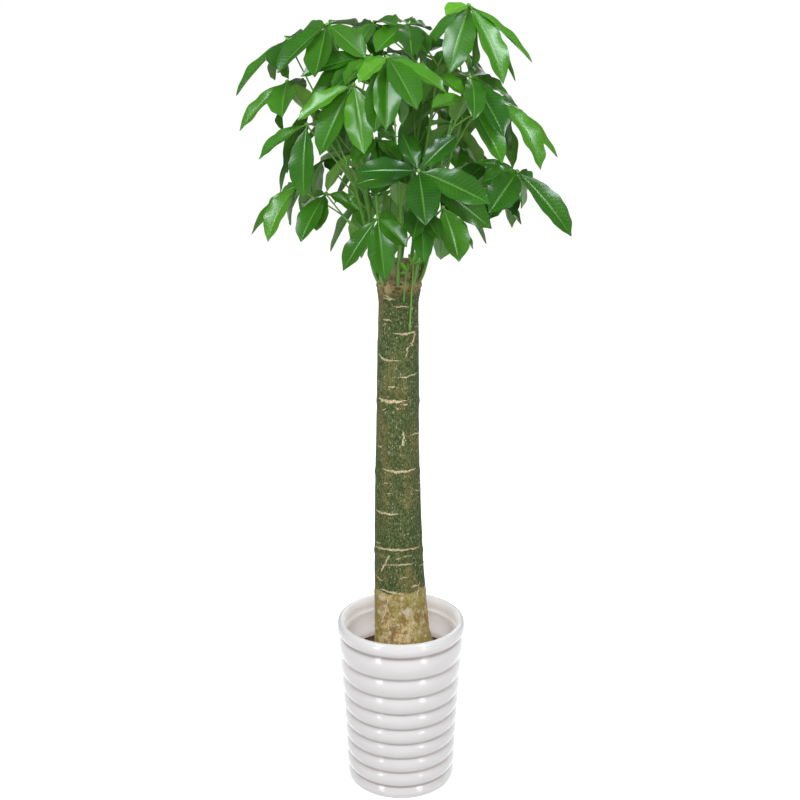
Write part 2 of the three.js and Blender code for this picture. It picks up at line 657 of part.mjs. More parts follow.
// ---------------------------------------------------------------- the plant
function moneyTree() {
  const curves = {};
  SHOOTS.forEach(({ name, bearing, path }) => { curves[name] = shootCurve(bearing, path.map(seen)); });
  BACK_SHOOTS.forEach((shoot) => { curves[shoot.name] = backCurve(shoot); });
  const sprouts = SPROUTS.map(({ name, path, leaf }) => {
    const curve = new THREE.CatmullRomCurve3(path.map(seen), false, 'centripetal');
    return { name, curve, whole: sproutSolid(curve, seen(leaf)) };
  });

  const stems = Object.entries(curves).map(([name, curve]) => (
    { name, curve, whole: rod(curve, STEM.stations, stemRadius, STEM.sides) }));
  const trunk = [
    ...stems.map(({ curve }) => socket(curve, STEM.stations, stemRadius, STEM.sides)),
    ...sprouts.map(({ curve }) => socket(curve, SPROUT.stations, sproutRadius, SPROUT.sides)),
  ].reduce((whole, hole) => whole.subtract(hole), trunkSolid());

  [...stems, ...sprouts, { name: 'trunk', whole: trunk }].forEach(({ name, whole }) => (
    placed.push(piece('stem', name, null, { whole, free: whole }))));
  const leaves = [...shownLeaves(curves), ...backLeaves(curves)];
  const held = leaves.filter((leaf) => placeStalk(leaf));
  held.forEach((leaf) => leaf.tips.forEach((tip) => placeLeaflet(leaf, tip)));

  const plant = new THREE.Group();
  plant.add(namedMesh('pot', potSolid(), GLAZE));
  plant.add(namedMesh('soil', soilSolid(), EARTH));
  plant.add(namedMesh('trunk', trunk, BARK));
  stems.forEach(({ name }) => {
    const grown = placed.filter((other) => other.shoot === name).map((other) => other.whole);
    plant.add(namedMesh(`shoot_${name}`, joined(grown), LEAF));
  });
  sprouts.forEach(({ name, whole }) => plant.add(namedMesh(`sprout_${name}`, whole, YOUNG)));
  return plant;
}

export default moneyTree();
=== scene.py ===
"""The potted money tree, dressed: every leaflet, stalk, scar and rib is built over the frame's own solids.

All sizes are in metres. The frame's meshes give the middle line, the width and the turn of each leaflet,
the line of each stem and stalk, the sections of the trunk and the outline of the pot.
"""
import itertools
import math

import bmesh
import bpy
import numpy as np
from mathutils import Euler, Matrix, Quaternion, Vector
from mathutils.bvhtree import BVHTree
from numpy.linalg import lstsq, norm


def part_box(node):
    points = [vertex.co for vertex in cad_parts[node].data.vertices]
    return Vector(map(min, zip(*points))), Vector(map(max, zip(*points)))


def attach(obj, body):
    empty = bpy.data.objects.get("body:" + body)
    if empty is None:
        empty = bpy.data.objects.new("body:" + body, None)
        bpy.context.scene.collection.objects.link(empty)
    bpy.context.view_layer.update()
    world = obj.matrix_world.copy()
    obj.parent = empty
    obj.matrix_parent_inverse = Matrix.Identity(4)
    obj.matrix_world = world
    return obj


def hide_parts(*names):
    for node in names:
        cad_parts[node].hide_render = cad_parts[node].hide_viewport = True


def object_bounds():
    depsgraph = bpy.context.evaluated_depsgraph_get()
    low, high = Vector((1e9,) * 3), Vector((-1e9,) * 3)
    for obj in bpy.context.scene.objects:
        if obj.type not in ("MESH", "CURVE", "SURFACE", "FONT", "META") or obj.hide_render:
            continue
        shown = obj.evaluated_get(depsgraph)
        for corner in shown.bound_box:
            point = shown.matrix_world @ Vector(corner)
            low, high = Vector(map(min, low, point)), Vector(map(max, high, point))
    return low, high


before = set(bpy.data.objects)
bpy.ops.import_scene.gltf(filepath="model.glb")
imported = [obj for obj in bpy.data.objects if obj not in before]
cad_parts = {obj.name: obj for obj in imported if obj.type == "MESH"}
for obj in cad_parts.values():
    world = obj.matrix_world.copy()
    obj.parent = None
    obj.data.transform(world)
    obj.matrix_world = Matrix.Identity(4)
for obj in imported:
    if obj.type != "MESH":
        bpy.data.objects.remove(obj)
cad_box = [list(corner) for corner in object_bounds()]
scene = bpy.context.scene

MM = 0.001
FULL_TURN = 2 * math.pi
SEED = 20

# The view of the photograph, whose focal length is in pixels.
CAMERA_AT = np.array([-0.002, -2.771, 1.736])
CAMERA_TILT = math.radians(16.2)
TILT_COS, TILT_SIN = math.cos(CAMERA_TILT), math.sin(CAMERA_TILT)
FOCAL, PICTURE = 1300.0, 800.0

SHOOTS = sorted(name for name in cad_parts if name.startswith("shoot_"))
SPROUTS = sorted(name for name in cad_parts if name.startswith("sprout_"))

# How the solids are made: the shares of a leaflet's length at which its sections stand, its thickness along
# the rib, how deep its root is sunk in the joint, and the least length from its last section to its tip.
SECTIONS = (0.3, 0.58, 0.83)
RIB_THICKNESS = 2.4 * MM
ROOT_SUNK = 3.4 * MM
SHORTEST_TIP = 4 * MM
# The reach of a joint's corners, the width of a stalk's section, and how short a straight stalk is.
JOINT_REACH = 7.5 * MM
STALK_WIDTH = 4.4 * MM
SHORT_STALK = 16 * MM
# How near corners are that are one, and how far one may be off the plane y = 0, or a thickness off its size.
SAME = 0.004 * MM
OFF_PLANE = 0.05 * MM
OFF_THICKNESS = 0.02 * MM


def unit(vector):
    return vector / norm(vector)


def squared(wanted, ahead):
    """The direction nearest to wanted that is square to ahead."""
    return unit(wanted - ahead * np.dot(wanted, ahead))


def smoothstep(low, high, value):
    share = np.clip((value - low) / (high - low), 0, 1)
    return share * share * (3 - 2 * share)


def turns_of(count):
    """Bearings that part a full turn into equal shares."""
    return FULL_TURN * np.arange(count) / count


def spokes(count, across, over):
    """Directions all round, from two that are square to each other."""
    turns = turns_of(count)
    return np.outer(np.cos(turns), across) + np.outer(np.sin(turns), over)


def loop(bearings, radius, height, aside=0.0):
    """Points round an upright line that stands some way to the right of the axis."""
    rows = np.broadcast_arrays(aside + radius * np.cos(bearings), radius * np.sin(bearings), height)
    return np.stack(rows, axis=-1)


def quads(grid):
    """The faces between neighbours in a grid of points."""
    corners = [grid[:-1, :-1], grid[:-1, 1:], grid[1:, 1:], grid[1:, :-1]]
    return np.stack(corners, axis=-1).reshape(-1, 4).tolist()


def flipped(faces):
    return [[face[0], *face[:0:-1]] for face in faces]


def ring_faces(rings, sides):
    """The outward faces of a skin of rings that go up, closed at its foot and its top."""
    grid = np.arange(rings * sides).reshape(rings, sides)
    return [*quads(np.hstack([grid, grid[:, :1]])), grid[0, ::-1].tolist(), grid[-1].tolist()]


def smoothed(line, times):
    """Evens out a line, or rows of numbers, with the two ends kept."""
    for _ in range(times):
        line[1:-1] = (line[:-2] + 2 * line[1:-1] + line[2:]) / 4
    return line


def resampled(values, count):
    return np.interp(np.linspace(0, 1, count), np.linspace(0, 1, len(values)), values)


def spline(points, count):
    """A smooth line through a few points, at equal shares of its length."""
    steps = 24
    t = (np.arange(steps) / steps)[:, None]
    ends = np.vstack([2 * points[0] - points[1], points, 2 * points[-1] - points[-2]])
    line = []
    for a, b, c, d in zip(ends, ends[1:], ends[2:], ends[3:]):
        line.append(0.5 * (2 * b + (c - a) * t + (2 * a - 5 * b + 4 * c - d) * t ** 2
                           + (3 * b - a - 3 * c + d) * t ** 3))
    line = np.vstack([*line, points[-1:]])
    run = np.concatenate([[0], np.cumsum(norm(np.diff(line, axis=0), axis=1))])
    wanted = np.linspace(0, run[-1], count)
    return np.stack([np.interp(wanted, run, column) for column in line.T], axis=1)


# ---------- reading the frame
def welded(name):
    """A node's mesh as a bmesh in which each corner is there once."""
    solid = bmesh.new()
    solid.from_mesh(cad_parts[name].data)
    bmesh.ops.remove_doubles(solid, verts=solid.verts, dist=SAME)
    solid.verts.ensure_lookup_table()
    return solid


def around(vertex, *left_out):
    """The neighbours of a corner, without those named."""
    return [edge.other_vert(vertex) for edge in vertex.link_edges if edge.other_vert(vertex) not in left_out]


def place_of(vertex):
    return np.array(vertex.co)


def middle_place(vertices):
    return np.mean([place_of(v) for v in vertices], axis=0)


def section_at_tip(tip):
    """The section next to a leaflet's tip as (edges, rib), two corners each, or None for another corner."""
    ring = around(tip)
    if len(ring) != 4:
        return None
    for rib in itertools.combinations(ring, 2):
        edges = [v for v in ring if v not in rib]
        out = tip.co - (rib[0].co + rib[1].co) / 2
        across = edges[0].co - edges[1].co
        thick_as_a_rib = abs((rib[0].co - rib[1].co).length - RIB_THICKNESS) < OFF_THICKNESS
        square = abs(out.normalized().dot(across.normalized())) < 0.05
        if thick_as_a_rib and square and out.length > SHORTEST_TIP:
            return edges, list(rib)
    return None


def section_before(edges, rib, beyond):
    """The section before one, going from a leaflet's tip to its root."""
    known = edges + rib + beyond
    earlier_edges = [around(edge, *known)[0] for edge in edges]
    earlier_rib = [around(side, *known, *earlier_edges)[0] for side in rib]
    return earlier_edges, earlier_rib


def read_blade(tip, edges, rib):
    """A leaflet's middle line as a curve of second degree, its width and its turn, from its sections."""
    sections = [(edges, rib)]
    beyond = [tip]
    for _ in SECTIONS[1:]:
        earlier = section_before(*sections[-1], beyond)
        beyond = sections[-1][0] + sections[-1][1]
        sections.append(earlier)
    corners = {tip, *(v for pair in sections for side in pair for v in side)}
    middles = [middle_place(pair[1]) for pair in sections[::-1]]
    at = np.array([*SECTIONS, 1.0])
    weights = np.stack([(1 - at) ** 2, 2 * at * (1 - at), at ** 2], axis=1)
    control = lstsq(weights, np.array([*middles, place_of(tip)]), rcond=None)[0]
    widest = [place_of(v) for v in sections[1][0]]
    heading = unit((1 - SECTIONS[1]) * (control[1] - control[0]) + SECTIONS[1] * (control[2] - control[1]))
    over = squared((widest[0] + widest[1]) / 2 - middles[1], heading)
    return {
        "control": control,
        "middle": middles[1],
        "width": norm(widest[0] - widest[1]),
        "across": np.cross(over, heading),
        "joint": control[0] - ROOT_SUNK * unit(control[2] - control[0]),
    }, corners


def rejoin(blade, joint):
    """Gives a leaflet the joint of its leaf, where its own sections don't lead there."""
    tip = blade["control"][2]
    root = joint + ROOT_SUNK * unit(tip - joint)
    t = SECTIONS[1]
    crest = (blade["middle"] - (1 - t) ** 2 * root - t ** 2 * tip) / (2 * t * (1 - t))
    blade["control"] = np.array([root, crest, tip])
    blade["joint"] = joint


def read_blades(solid):
    """Every leaflet of a node, with the corners of all of them."""
    blades, taken = [], set()
    for tip in solid.verts:
        found = section_at_tip(tip)
        if found:
            blade, corners = read_blade(tip, *found)
            blades.append(blade)
            taken |= corners
    return blades, taken


def leaves_of(blades):
    """The leaflets of a node in groups that share a joint."""
    groups = []
    for blade in blades:
        for group in groups:
            if norm(group[0]["joint"] - blade["joint"]) < 1 * MM:
                group.append(blade)
                break
        else:
            groups.append([blade])
    if len(groups) == 1:
        return groups
    leaves = [group for group in groups if len(group) > 1]
    for stray in [group[0] for group in groups if len(group) == 1]:
        nearest = min(leaves, key=lambda leaf: norm(leaf[0]["joint"] - stray["joint"]))
        rejoin(stray, nearest[0]["joint"])
        nearest.append(stray)
    return leaves


def tree_without(solid, taken):
    """A search tree of the node's stems and stalks, without its leaflets."""
    polygons = [[v.index for v in face.verts] for face in solid.faces if not taken.intersection(face.verts)]
    return BVHTree.FromPolygons([v.co.copy() for v in solid.verts], polygons)


def middle_and_radius(tree, here, ahead, reach):
    """Moves a point in a rod to its middle, by rays square to the way ahead, and gives the rod's radius."""
    pairs = 8
    across = np.array(Vector(ahead).orthogonal().normalized())
    ways = spokes(2 * pairs, across, np.cross(ahead, across))
    far = []
    for way in ways:
        _, normal, _, distance = tree.ray_cast(Vector(here), Vector(way), reach)
        leaves_solid = normal is not None and normal.dot(Vector(way)) > 0
        far.append(distance if leaves_solid else np.nan)
    far = np.array(far)
    offsets = (far[:pairs] - far[pairs:]) / 2
    good = ~np.isnan(offsets)
    if good.sum() < 3:
        return here, None
    moved = lstsq(ways[:pairs][good], offsets[good], rcond=None)[0]
    return here + moved, float(np.nanmedian(far[:pairs] + far[pairs:]) / 2)


# How a rod is followed: the length of a step, how far its skin may be, its least radius, how many steps
# may find nothing, and how wide its foot is.
SHOOT_ROD = {"step": 7 * MM, "reach": 9 * MM, "thinnest": 2.9 * MM, "patience": 5, "foot": 12.5 * MM}
SPROUT_ROD = {"step": 4 * MM, "reach": 5 * MM, "thinnest": 0.8 * MM, "patience": 3, "foot": 5.5 * MM}


def follow_stem(solid, tree, rod):
    """The middle line of a shoot's stem and its radius there, from its foot in the bark to its top."""
    step = rod["step"]
    lowest = min(solid.verts, key=lambda v: v.co.z)
    foot = [v for v in solid.verts if (v.co - lowest.co).length < rod["foot"]]
    start = middle_place(foot)
    ahead = unit(middle_place({v for low in foot for v in around(low) if v not in foot}) - start)
    points, radii, missed = [start], [], 0
    here = start + ahead * step / 4
    while missed < rod["patience"]:
        found, radius = middle_and_radius(tree, here, ahead, rod["reach"])
        if radius is None or radius < rod["thinnest"]:
            missed += 1
        else:
            missed = 0
            here = found
            if len(points) > 1:
                ahead = unit(ahead + unit(here - points[-1]))
            points.append(here)
            radii.append(radius)
        here = here + ahead * step
    return np.array(points), np.array([radii[0], *radii])


def next_corners(corners, *left_out):
    known = set(corners).union(*left_out)
    return {v for corner in corners for v in around(corner) if v not in known}


def middle_of_stalk(ring):
    """The middle of a stalk's section, from two corners that face each other, or else of all the corners."""
    places = [place_of(v) for v in ring]
    facing = [(a + b) / 2 for i, a in enumerate(places) for b in places[:i]
              if abs(norm(a - b) - STALK_WIDTH) < 1.5 * OFF_THICKNESS]
    return np.mean(facing or places, axis=0)


def read_stalk(solid, taken, joint, stem):
    """The points that a leaf's stalk passes through, from the stem to the joint."""
    def nearest_on_stem(place):
        return stem[np.argmin(norm(stem - place, axis=1))]

    knob = {v for v in solid.verts if v not in taken and norm(place_of(v) - joint) < JOINT_REACH}
    collar = next_corners(knob, taken)
    middle = next_corners(collar, knob, taken)
    foot = next_corners(middle, collar, knob, taken)
    root = nearest_on_stem(joint)
    if norm(root - joint) < SHORT_STALK or not foot:
        return np.array([root, joint])
    start = middle_place(foot)
    return np.array([nearest_on_stem(start), start, middle_of_stalk(middle), middle_of_stalk(collar), joint])


# ---------- meshes
class Builder:
    """Collects points, faces, materials and a colour for each point of one mesh."""

    def __init__(self):
        self.points, self.tints, self.coords = [], [], []
        self.faces, self.materials = [], []
        self.count = 0

    def add(self, points, faces, material, tint, coords=None):
        self.points.append(points)
        self.tints.append(np.broadcast_to(np.asarray(tint, float), (len(points), 4)))
        self.coords.append(np.zeros((len(points), 2)) if coords is None else coords)
        self.faces.extend([[corner + self.count for corner in face] for face in faces])
        self.materials.extend([material] * len(faces) if np.isscalar(material) else material)
        self.count += len(points)

    def tube(self, line, radii, sides, tint):
        """A closed round green rod along a line."""
        headings = np.gradient(line, axis=0)
        across = squared(np.array(Vector(headings[0]).orthogonal()), unit(headings[0]))
        rings = []
        for point, heading, radius in zip(line, headings, radii):
            across = squared(across, unit(heading))
            rings.append(point + radius * spokes(sides, across, np.cross(unit(heading), across)))
        self.add(np.vstack(rings), ring_faces(len(line), sides), GREEN, tint)

    def piece(self, name, replaced, slot, materials):
        """A smooth object that rides on the plant's one body and stands for the nodes named."""
        mesh = bpy.data.meshes.new(name)
        mesh.from_pydata(np.clip(np.vstack(self.points), *cad_box).tolist(), [], self.faces)
        mesh.update()
        mesh.shade_smooth()
        for material in materials:
            mesh.materials.append(material)
        mesh.polygons.foreach_set("material_index", np.array(self.materials, np.int32))
        paint(mesh, "tint", np.vstack(self.tints))
        corners = np.empty(len(mesh.loops), np.int32)
        mesh.loops.foreach_get("vertex_index", corners)
        uv = mesh.uv_layers.new(name="blade")
        uv.data.foreach_set("uv", np.vstack(self.coords)[corners].astype(np.float32).ravel())
        piece = new_object(name, mesh)
        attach(piece, "root")
        if replaced:
            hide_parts(*replaced)
        return piece


def paint(mesh, name, colors):
    """Gives each point of a mesh a colour, for its materials to read."""
    layer = mesh.color_attributes.new(name, "FLOAT_COLOR", "POINT")
    layer.data.foreach_set("color", colors.astype(np.float32).ravel())


def new_object(name, data):
    made = bpy.data.objects.new(name, data)
    scene.collection.objects.link(made)
    return made


# ---------- leaflets
VEINS = 15
ROWS = 2 * VEINS + 4  # rows of points along a leaflet, every second one on a vein
HALF = 6  # points from the rib to the margin
COLUMNS = 2 * HALF + 1
UPPER_POINTS = ROWS * COLUMNS
BLADE_POINTS = UPPER_POINTS + ROWS * (COLUMNS - 2) + 1
SWEEP = 0.125  # how far a vein runs on towards the tip, as a share of the leaflet
BLADE_THICKNESS = 0.5 * MM
NECK_WIDTH = 3.0 * MM
NECK_THICKNESS = 1.6 * MM
VEIN_DEPTH = 0.28 * MM
RIB_DEPTH = 0.3 * MM
LIFT = 0.36  # how steeply the halves rise from the rib
# Between which values chance chooses the height and the number of the margin's waves, how far the halves
# arch, as a share of their width, and how far the tip curls down, as a share of the length.
WAVE_HEIGHT = (0.9 * MM, 2.4 * MM)
WAVES = (2.0, 3.4)
ARCH = (0.10, 0.2)
CURL = (-0.01, 0.0175)
UPPER, UNDER, GREEN = range(3)


def leaf_outline(t):
    """The half width of a leaflet at a share of its length, as a share of the greatest."""
    full = np.sin(math.pi * np.clip(t, 0, 1) ** 1.2)
    return np.clip(full, 0, 1) ** 0.72 * (1 - 0.42 * smoothstep(0.86, 0.99, t)) * smoothstep(-0.02, 0.2, t)


def blade_template():
    """The faces of a leaflet's skin, and how many of them, the first, are its upper face."""
    top = np.arange(UPPER_POINTS).reshape(ROWS, COLUMNS)
    low = top.copy()
    tip = BLADE_POINTS - 1
    low[:, 1:-1] = np.arange(UPPER_POINTS, tip).reshape(ROWS, COLUMNS - 2)
    upper, under = quads(top), flipped(quads(low))
    upper += [[a, b, tip] for a, b in itertools.pairwise(top[-1].tolist())]
    under += [[b, a, tip] for a, b in itertools.pairwise(low[-1].tolist())]
    root = quads(np.array([low[0], top[0]]))
    return upper + under + [list(dict.fromkeys(face)) for face in root], len(upper)


BLADE_FACES, UPPER_FACES = blade_template()
BLADE_MATERIALS = [UPPER] * UPPER_FACES + [UNDER] * (len(BLADE_FACES) - UPPER_FACES)


def blade_points(blade, rng, waved=1.0):
    """A leaflet's points and their places on it: veins pressed in, halves arched, margins waved."""
    shares = np.linspace(0, 1, ROWS + 1)[:-1][:, None]
    v = np.linspace(-1, 1, COLUMNS)[None, :]
    side = np.abs(v)
    on_rib = side < 0.01
    t = shares + 4 * SWEEP * shares * (1 - shares) * side ** 1.2
    a, b, c = blade["control"]
    a = blade["joint"] + 1.2 * MM * unit(c - a)
    s = t[..., None]
    line = (1 - s) ** 2 * a + 2 * s * (1 - s) * b + s ** 2 * c
    heading = (1 - s) * (b - a) + s * (c - b)
    heading /= norm(heading, axis=-1, keepdims=True)
    over = np.cross(heading, blade["across"])
    wave = waved * rng.uniform(*WAVE_HEIGHT)
    waves = FULL_TURN * rng.uniform(*WAVES)
    phase = np.where(v < 0, *rng.uniform(0, FULL_TURN, 2))
    blade_part = smoothstep(0.08, 0.3, t) * (1 - smoothstep(0.86, 1, t))
    half = np.maximum(blade["width"] / 2 * leaf_outline(t), NECK_WIDTH / 2 * (1 - smoothstep(0.1, 0.3, t)))
    half = half * (1 + 0.03 * np.sin(1.7 * waves * t + phase) * blade_part)
    arch = rng.uniform(*ARCH)
    curl = rng.uniform(*CURL) * norm(c - a)
    pressed = np.where(np.arange(ROWS)[:, None] % 2 == 0, -1.0, 1.0)
    pillow = np.sin(math.pi * side ** 0.8) ** 0.6
    z = half * ((LIFT + arch) * side - arch * side ** 2.2)
    z = z + wave * side ** 2 * np.sin(waves * t + phase) * blade_part
    z = z + waved * (VEIN_DEPTH * pressed * pillow - RIB_DEPTH * on_rib) * blade_part
    z = z - curl * smoothstep(0.7, 1.0, t)
    rib = on_rib * (1.5 - t) * MM + 0.5 * MM * np.exp(-(side * half / (2 * MM)) ** 2)
    thick = BLADE_THICKNESS + rib * (side < 1) + NECK_THICKNESS * (1 - smoothstep(0.03, 0.12, t))
    top = line + blade["across"] * (v * half)[..., None] + over * z[..., None]
    low = top - over * thick[..., None]
    tip = c - over[-1, HALF] * curl
    points = np.vstack([top.reshape(-1, 3), low[:, 1:-1].reshape(-1, 3), tip])
    end = ROWS / (2 * VEINS)
    uv = np.stack(np.broadcast_arrays(shares * end, (v + 1) / 2), axis=-1)
    return points, np.vstack([uv.reshape(-1, 2), uv[:, 1:-1].reshape(-1, 2), [end, 0.5]])


def mark_margins(piece, blades):
    """The margins of leaflets are sharp edges, so that upper face and underside shade apart."""
    mesh = piece.data
    ends = np.empty(2 * len(mesh.edges), np.int32)
    mesh.edges.foreach_get("vertices", ends)
    ends = ends.reshape(-1, 2)
    local = ends % BLADE_POINTS
    on_margin = (local < UPPER_POINTS) & np.isin(local % COLUMNS, [0, COLUMNS - 1])
    on_margin |= local == BLADE_POINTS - 1
    sharp = on_margin.all(axis=1) & (ends < BLADE_POINTS * blades).all(axis=1)
    mesh.edges.foreach_set("use_edge_sharp", sharp)


# Leaflets that are lighter or darker than the rest: where the middle of one stands in the photograph, how
# far round that the tone goes, how young it is and how light.
LEAF_TONES = [
    (372, 69, 12, 0.4, 0.8), (426, 77, 12, 0.2, 0.6), (405, 83, 12, 0.0, 0.3), (446, 92, 9, 0.7, 0.9),
    (457, 8, 10, 0.7, 0.9), (465, 63, 12, 0.65, 0.9), (507, 50, 12, 0.5, 0.9), (276, 69, 9, 0.4, 0.8),
    (259, 106, 10, 0.25, 0.7), (311, 90, 10, 0.5, 0.9), (322, 100, 10, 0.25, 0.8), (361, 127, 8, 0.2, 0.7),
    (476, 146, 12, 0.4, 0.9), (457, 123, 12, 0.35, 0.8), (530, 138, 12, 0.25, 0.8), (549, 192, 14, 0.2, 0.8),
    (522, 196, 10, 0.5, 0.9), (326, 208, 12, 0.45, 0.9), (280, 215, 12, 0.35, 0.8), (253, 230, 12, 0.35, 0.8),
    (345, 173, 12, 0.35, 0.8), (357, 203, 12, 0.35, 0.8), (399, 196, 9, 0.35, 0.8), (384, 246, 12, 0.15, 0.7),
    (445, 242, 10, 0.3, 0.9), (461, 227, 10, 0.3, 0.8), (280, 183, 10, 0.5, 0.9), (309, 104, 9, 0.5, 0.9),
    (301, 217, 9, 0.0, 0.0), (390, 172, 22, 0.0, 0.0), (430, 205, 16, 0.0, 0.1), (470, 195, 22, 0.0, 0.0),
    (410, 148, 16, 0.0, 0.0), (445, 145, 14, 0.0, 0.0), (507, 188, 12, 0.0, 0.1), (415, 38, 12, 0.0, 0.0),
    (318, 55, 12, 0.0, 0.1), (334, 119, 10, 0.0, 0.1), (495, 115, 12, 0.0, 0.0), (410, 225, 12, 0.0, 0.0),
]
# How young and how light a shoot's stem, its stalks, its joints and the parts of a sprout are.
STEM_TONE, STALK_TONE, JOINT_TONE = (0.42, 0.3), (0.8, 0.6), (0.75, 0.8)
SPROUT_STEM_TONE, SPROUT_LEAF_TONE = (0.9, 0.8), (0.75, 0.8)
STEM_SIDES, STALK_SIDES, STALK_ROWS = 10, 8, 26
# A stalk's radius, and how much more it is at its two ends.
STALK_RADIUS, STALK_FLARE = 1.75 * MM, 1.3 * MM
# A joint as a turned shape: places along its stalk's end, and radii.
JOINT_ALONG = np.array([-3.0, -1.5, 0.2, 1.8, 2.8]) * MM
JOINT_RADII = np.array([2.6, 4.0, 4.4, 3.2, 1.0]) * MM
# A sprout's leaflets: how many degrees each is turned to the side, and its size.
SPROUT_LEAFLETS = ((0, 1.0), (55, 0.62), (-50, 0.7))


def seen(point):
    """Where a place in the frame stands in the photograph, in pixels."""
    right, away, up = point - CAMERA_AT
    depth = away * TILT_COS - up * TILT_SIN
    rise = away * TILT_SIN + up * TILT_COS
    return np.array([PICTURE / 2 + FOCAL * right / depth, PICTURE / 2 - FOCAL * rise / depth])


def leaflet_tint(middle, rng):
    """A leaflet's colour: how young, how light, a random number."""
    youth, light = 0.12 * rng.random(), 0.85 * rng.random()
    place = seen(middle)
    for x, y, reach, tone_youth, tone_light in LEAF_TONES:
        share = math.exp(-(math.hypot(place[0] - x, place[1] - y) / reach) ** 2)
        youth += share * (tone_youth - youth)
        light += share * (tone_light - light)
    return np.clip([youth, light, rng.random(), 1.0], 0, 1)


def dress_shoot(name, rng):
    """A shoot's leaflets, stem, stalks and joints. Gives a place on the stem near its foot."""
    solid = welded(name)
    blades, taken = read_blades(solid)
    stem, radii = follow_stem(solid, tree_without(solid, taken), SHOOT_ROD)
    leaves = leaves_of(blades)
    builder = Builder()
    for blade in itertools.chain(*leaves):
        points, coords = blade_points(blade, rng)
        builder.add(points, BLADE_FACES, BLADE_MATERIALS, leaflet_tint(blade["middle"], rng), coords)
    rows = int(len(stem) * 1.5)
    along = np.linspace(0, 1, rows)
    swelling = 0.5 * MM * np.exp(-(((along * 7) % 1 - 0.5) / 0.06) ** 2) * (along > 0.12)
    thick = resampled(smoothed(radii, 4), rows) + swelling
    builder.tube(spline(smoothed(stem, 3), rows), thick, STEM_SIDES, [*STEM_TONE, rng.random(), 1])
    for leaf in leaves:
        joint = leaf[0]["joint"]
        path = spline(read_stalk(solid, taken, joint, stem), STALK_ROWS)
        share = np.linspace(0, 1, STALK_ROWS)
        flare = 1 - smoothstep(0, 0.12, share) + smoothstep(0.93, 1, share)
        thick = STALK_RADIUS + STALK_FLARE * flare
        builder.tube(path, thick, STALK_SIDES, [*STALK_TONE, rng.random(), 1])
        knob = joint + JOINT_ALONG[:, None] * unit(path[-1] - path[-2])
        builder.tube(knob, JOINT_RADII, STEM_SIDES, [*JOINT_TONE, rng.random(), 1])
    piece = builder.piece(name + "_leaves", [name], "leaf", [leaf_upper, leaf_under, green_stem])
    mark_margins(piece, len(blades))
    solid.free()
    return stem[1] + 0.6 * (stem[2] - stem[1])


def dress_sprout(name, rng):
    """A thin sprout with its small leaf, and two smaller ones beside that."""
    solid = welded(name)
    blades, taken = read_blades(solid)
    stem, radii = follow_stem(solid, tree_without(solid, taken), SPROUT_ROD)
    solid.free()
    builder = Builder()
    tint = [*SPROUT_LEAF_TONE, rng.random(), 1]
    blade = blades[0]
    root, crest, tip = blade["control"]
    over = np.cross(unit(tip - root), blade["across"])
    for turn, size in SPROUT_LEAFLETS:
        way, across = Vector(tip - root), Vector(blade["across"])
        for direction in (way, across):
            direction.rotate(Quaternion(Vector(over), math.radians(turn)))
        end = root + size * np.array(way)
        own = {**blade, "control": np.array([root, (root + end) / 2 + (crest - (root + tip) / 2), end]),
               "across": np.array(across), "width": blade["width"] * size}
        points, coords = blade_points(own, rng, 0.25)
        builder.add(points, BLADE_FACES, BLADE_MATERIALS, tint, coords)
    rows = max(10, len(stem) * 2)
    thick = 1.25 * resampled(radii, rows)
    builder.tube(spline(smoothed(stem, 1), rows), thick, STALK_SIDES, [*SPROUT_STEM_TONE, rng.random(), 1])
    piece = builder.piece(name + "_leaves", [name], "young_leaf", [leaf_upper, leaf_under, green_stem])
    mark_margins(piece, len(SPROUT_LEAFLETS))


# ---------- trunk
TRUNK_FOOT, TRUNK_TOP = 0.1555, 1.243
TRUNK_ROW = 1.7 * MM
TRUNK_SIDES = 168
SOLID_SIDES = 32
CALLUS_Z = 1.193
STUB_Z = 1.209
ZONE_Z = 0.488  # the bark is older and tan below this height
CUT_SHARES = (0.93, 0.85, 0.7, 0.55, 0.4, 0.25, 0.1)  # rings of points on the cut top, from its edge inwards
BARK, CUT = range(2)
# Where chance puts scars on the back: heights, and the bearings of their middles.
BACK_SCARS_Z = (0.50, 1.14)
BACK = (math.radians(-5), math.radians(185))
CRUSTS_Z = (0.31, 0.46)
# The width of a picture's pixel at the trunk.
PIXEL = 2.13 * MM
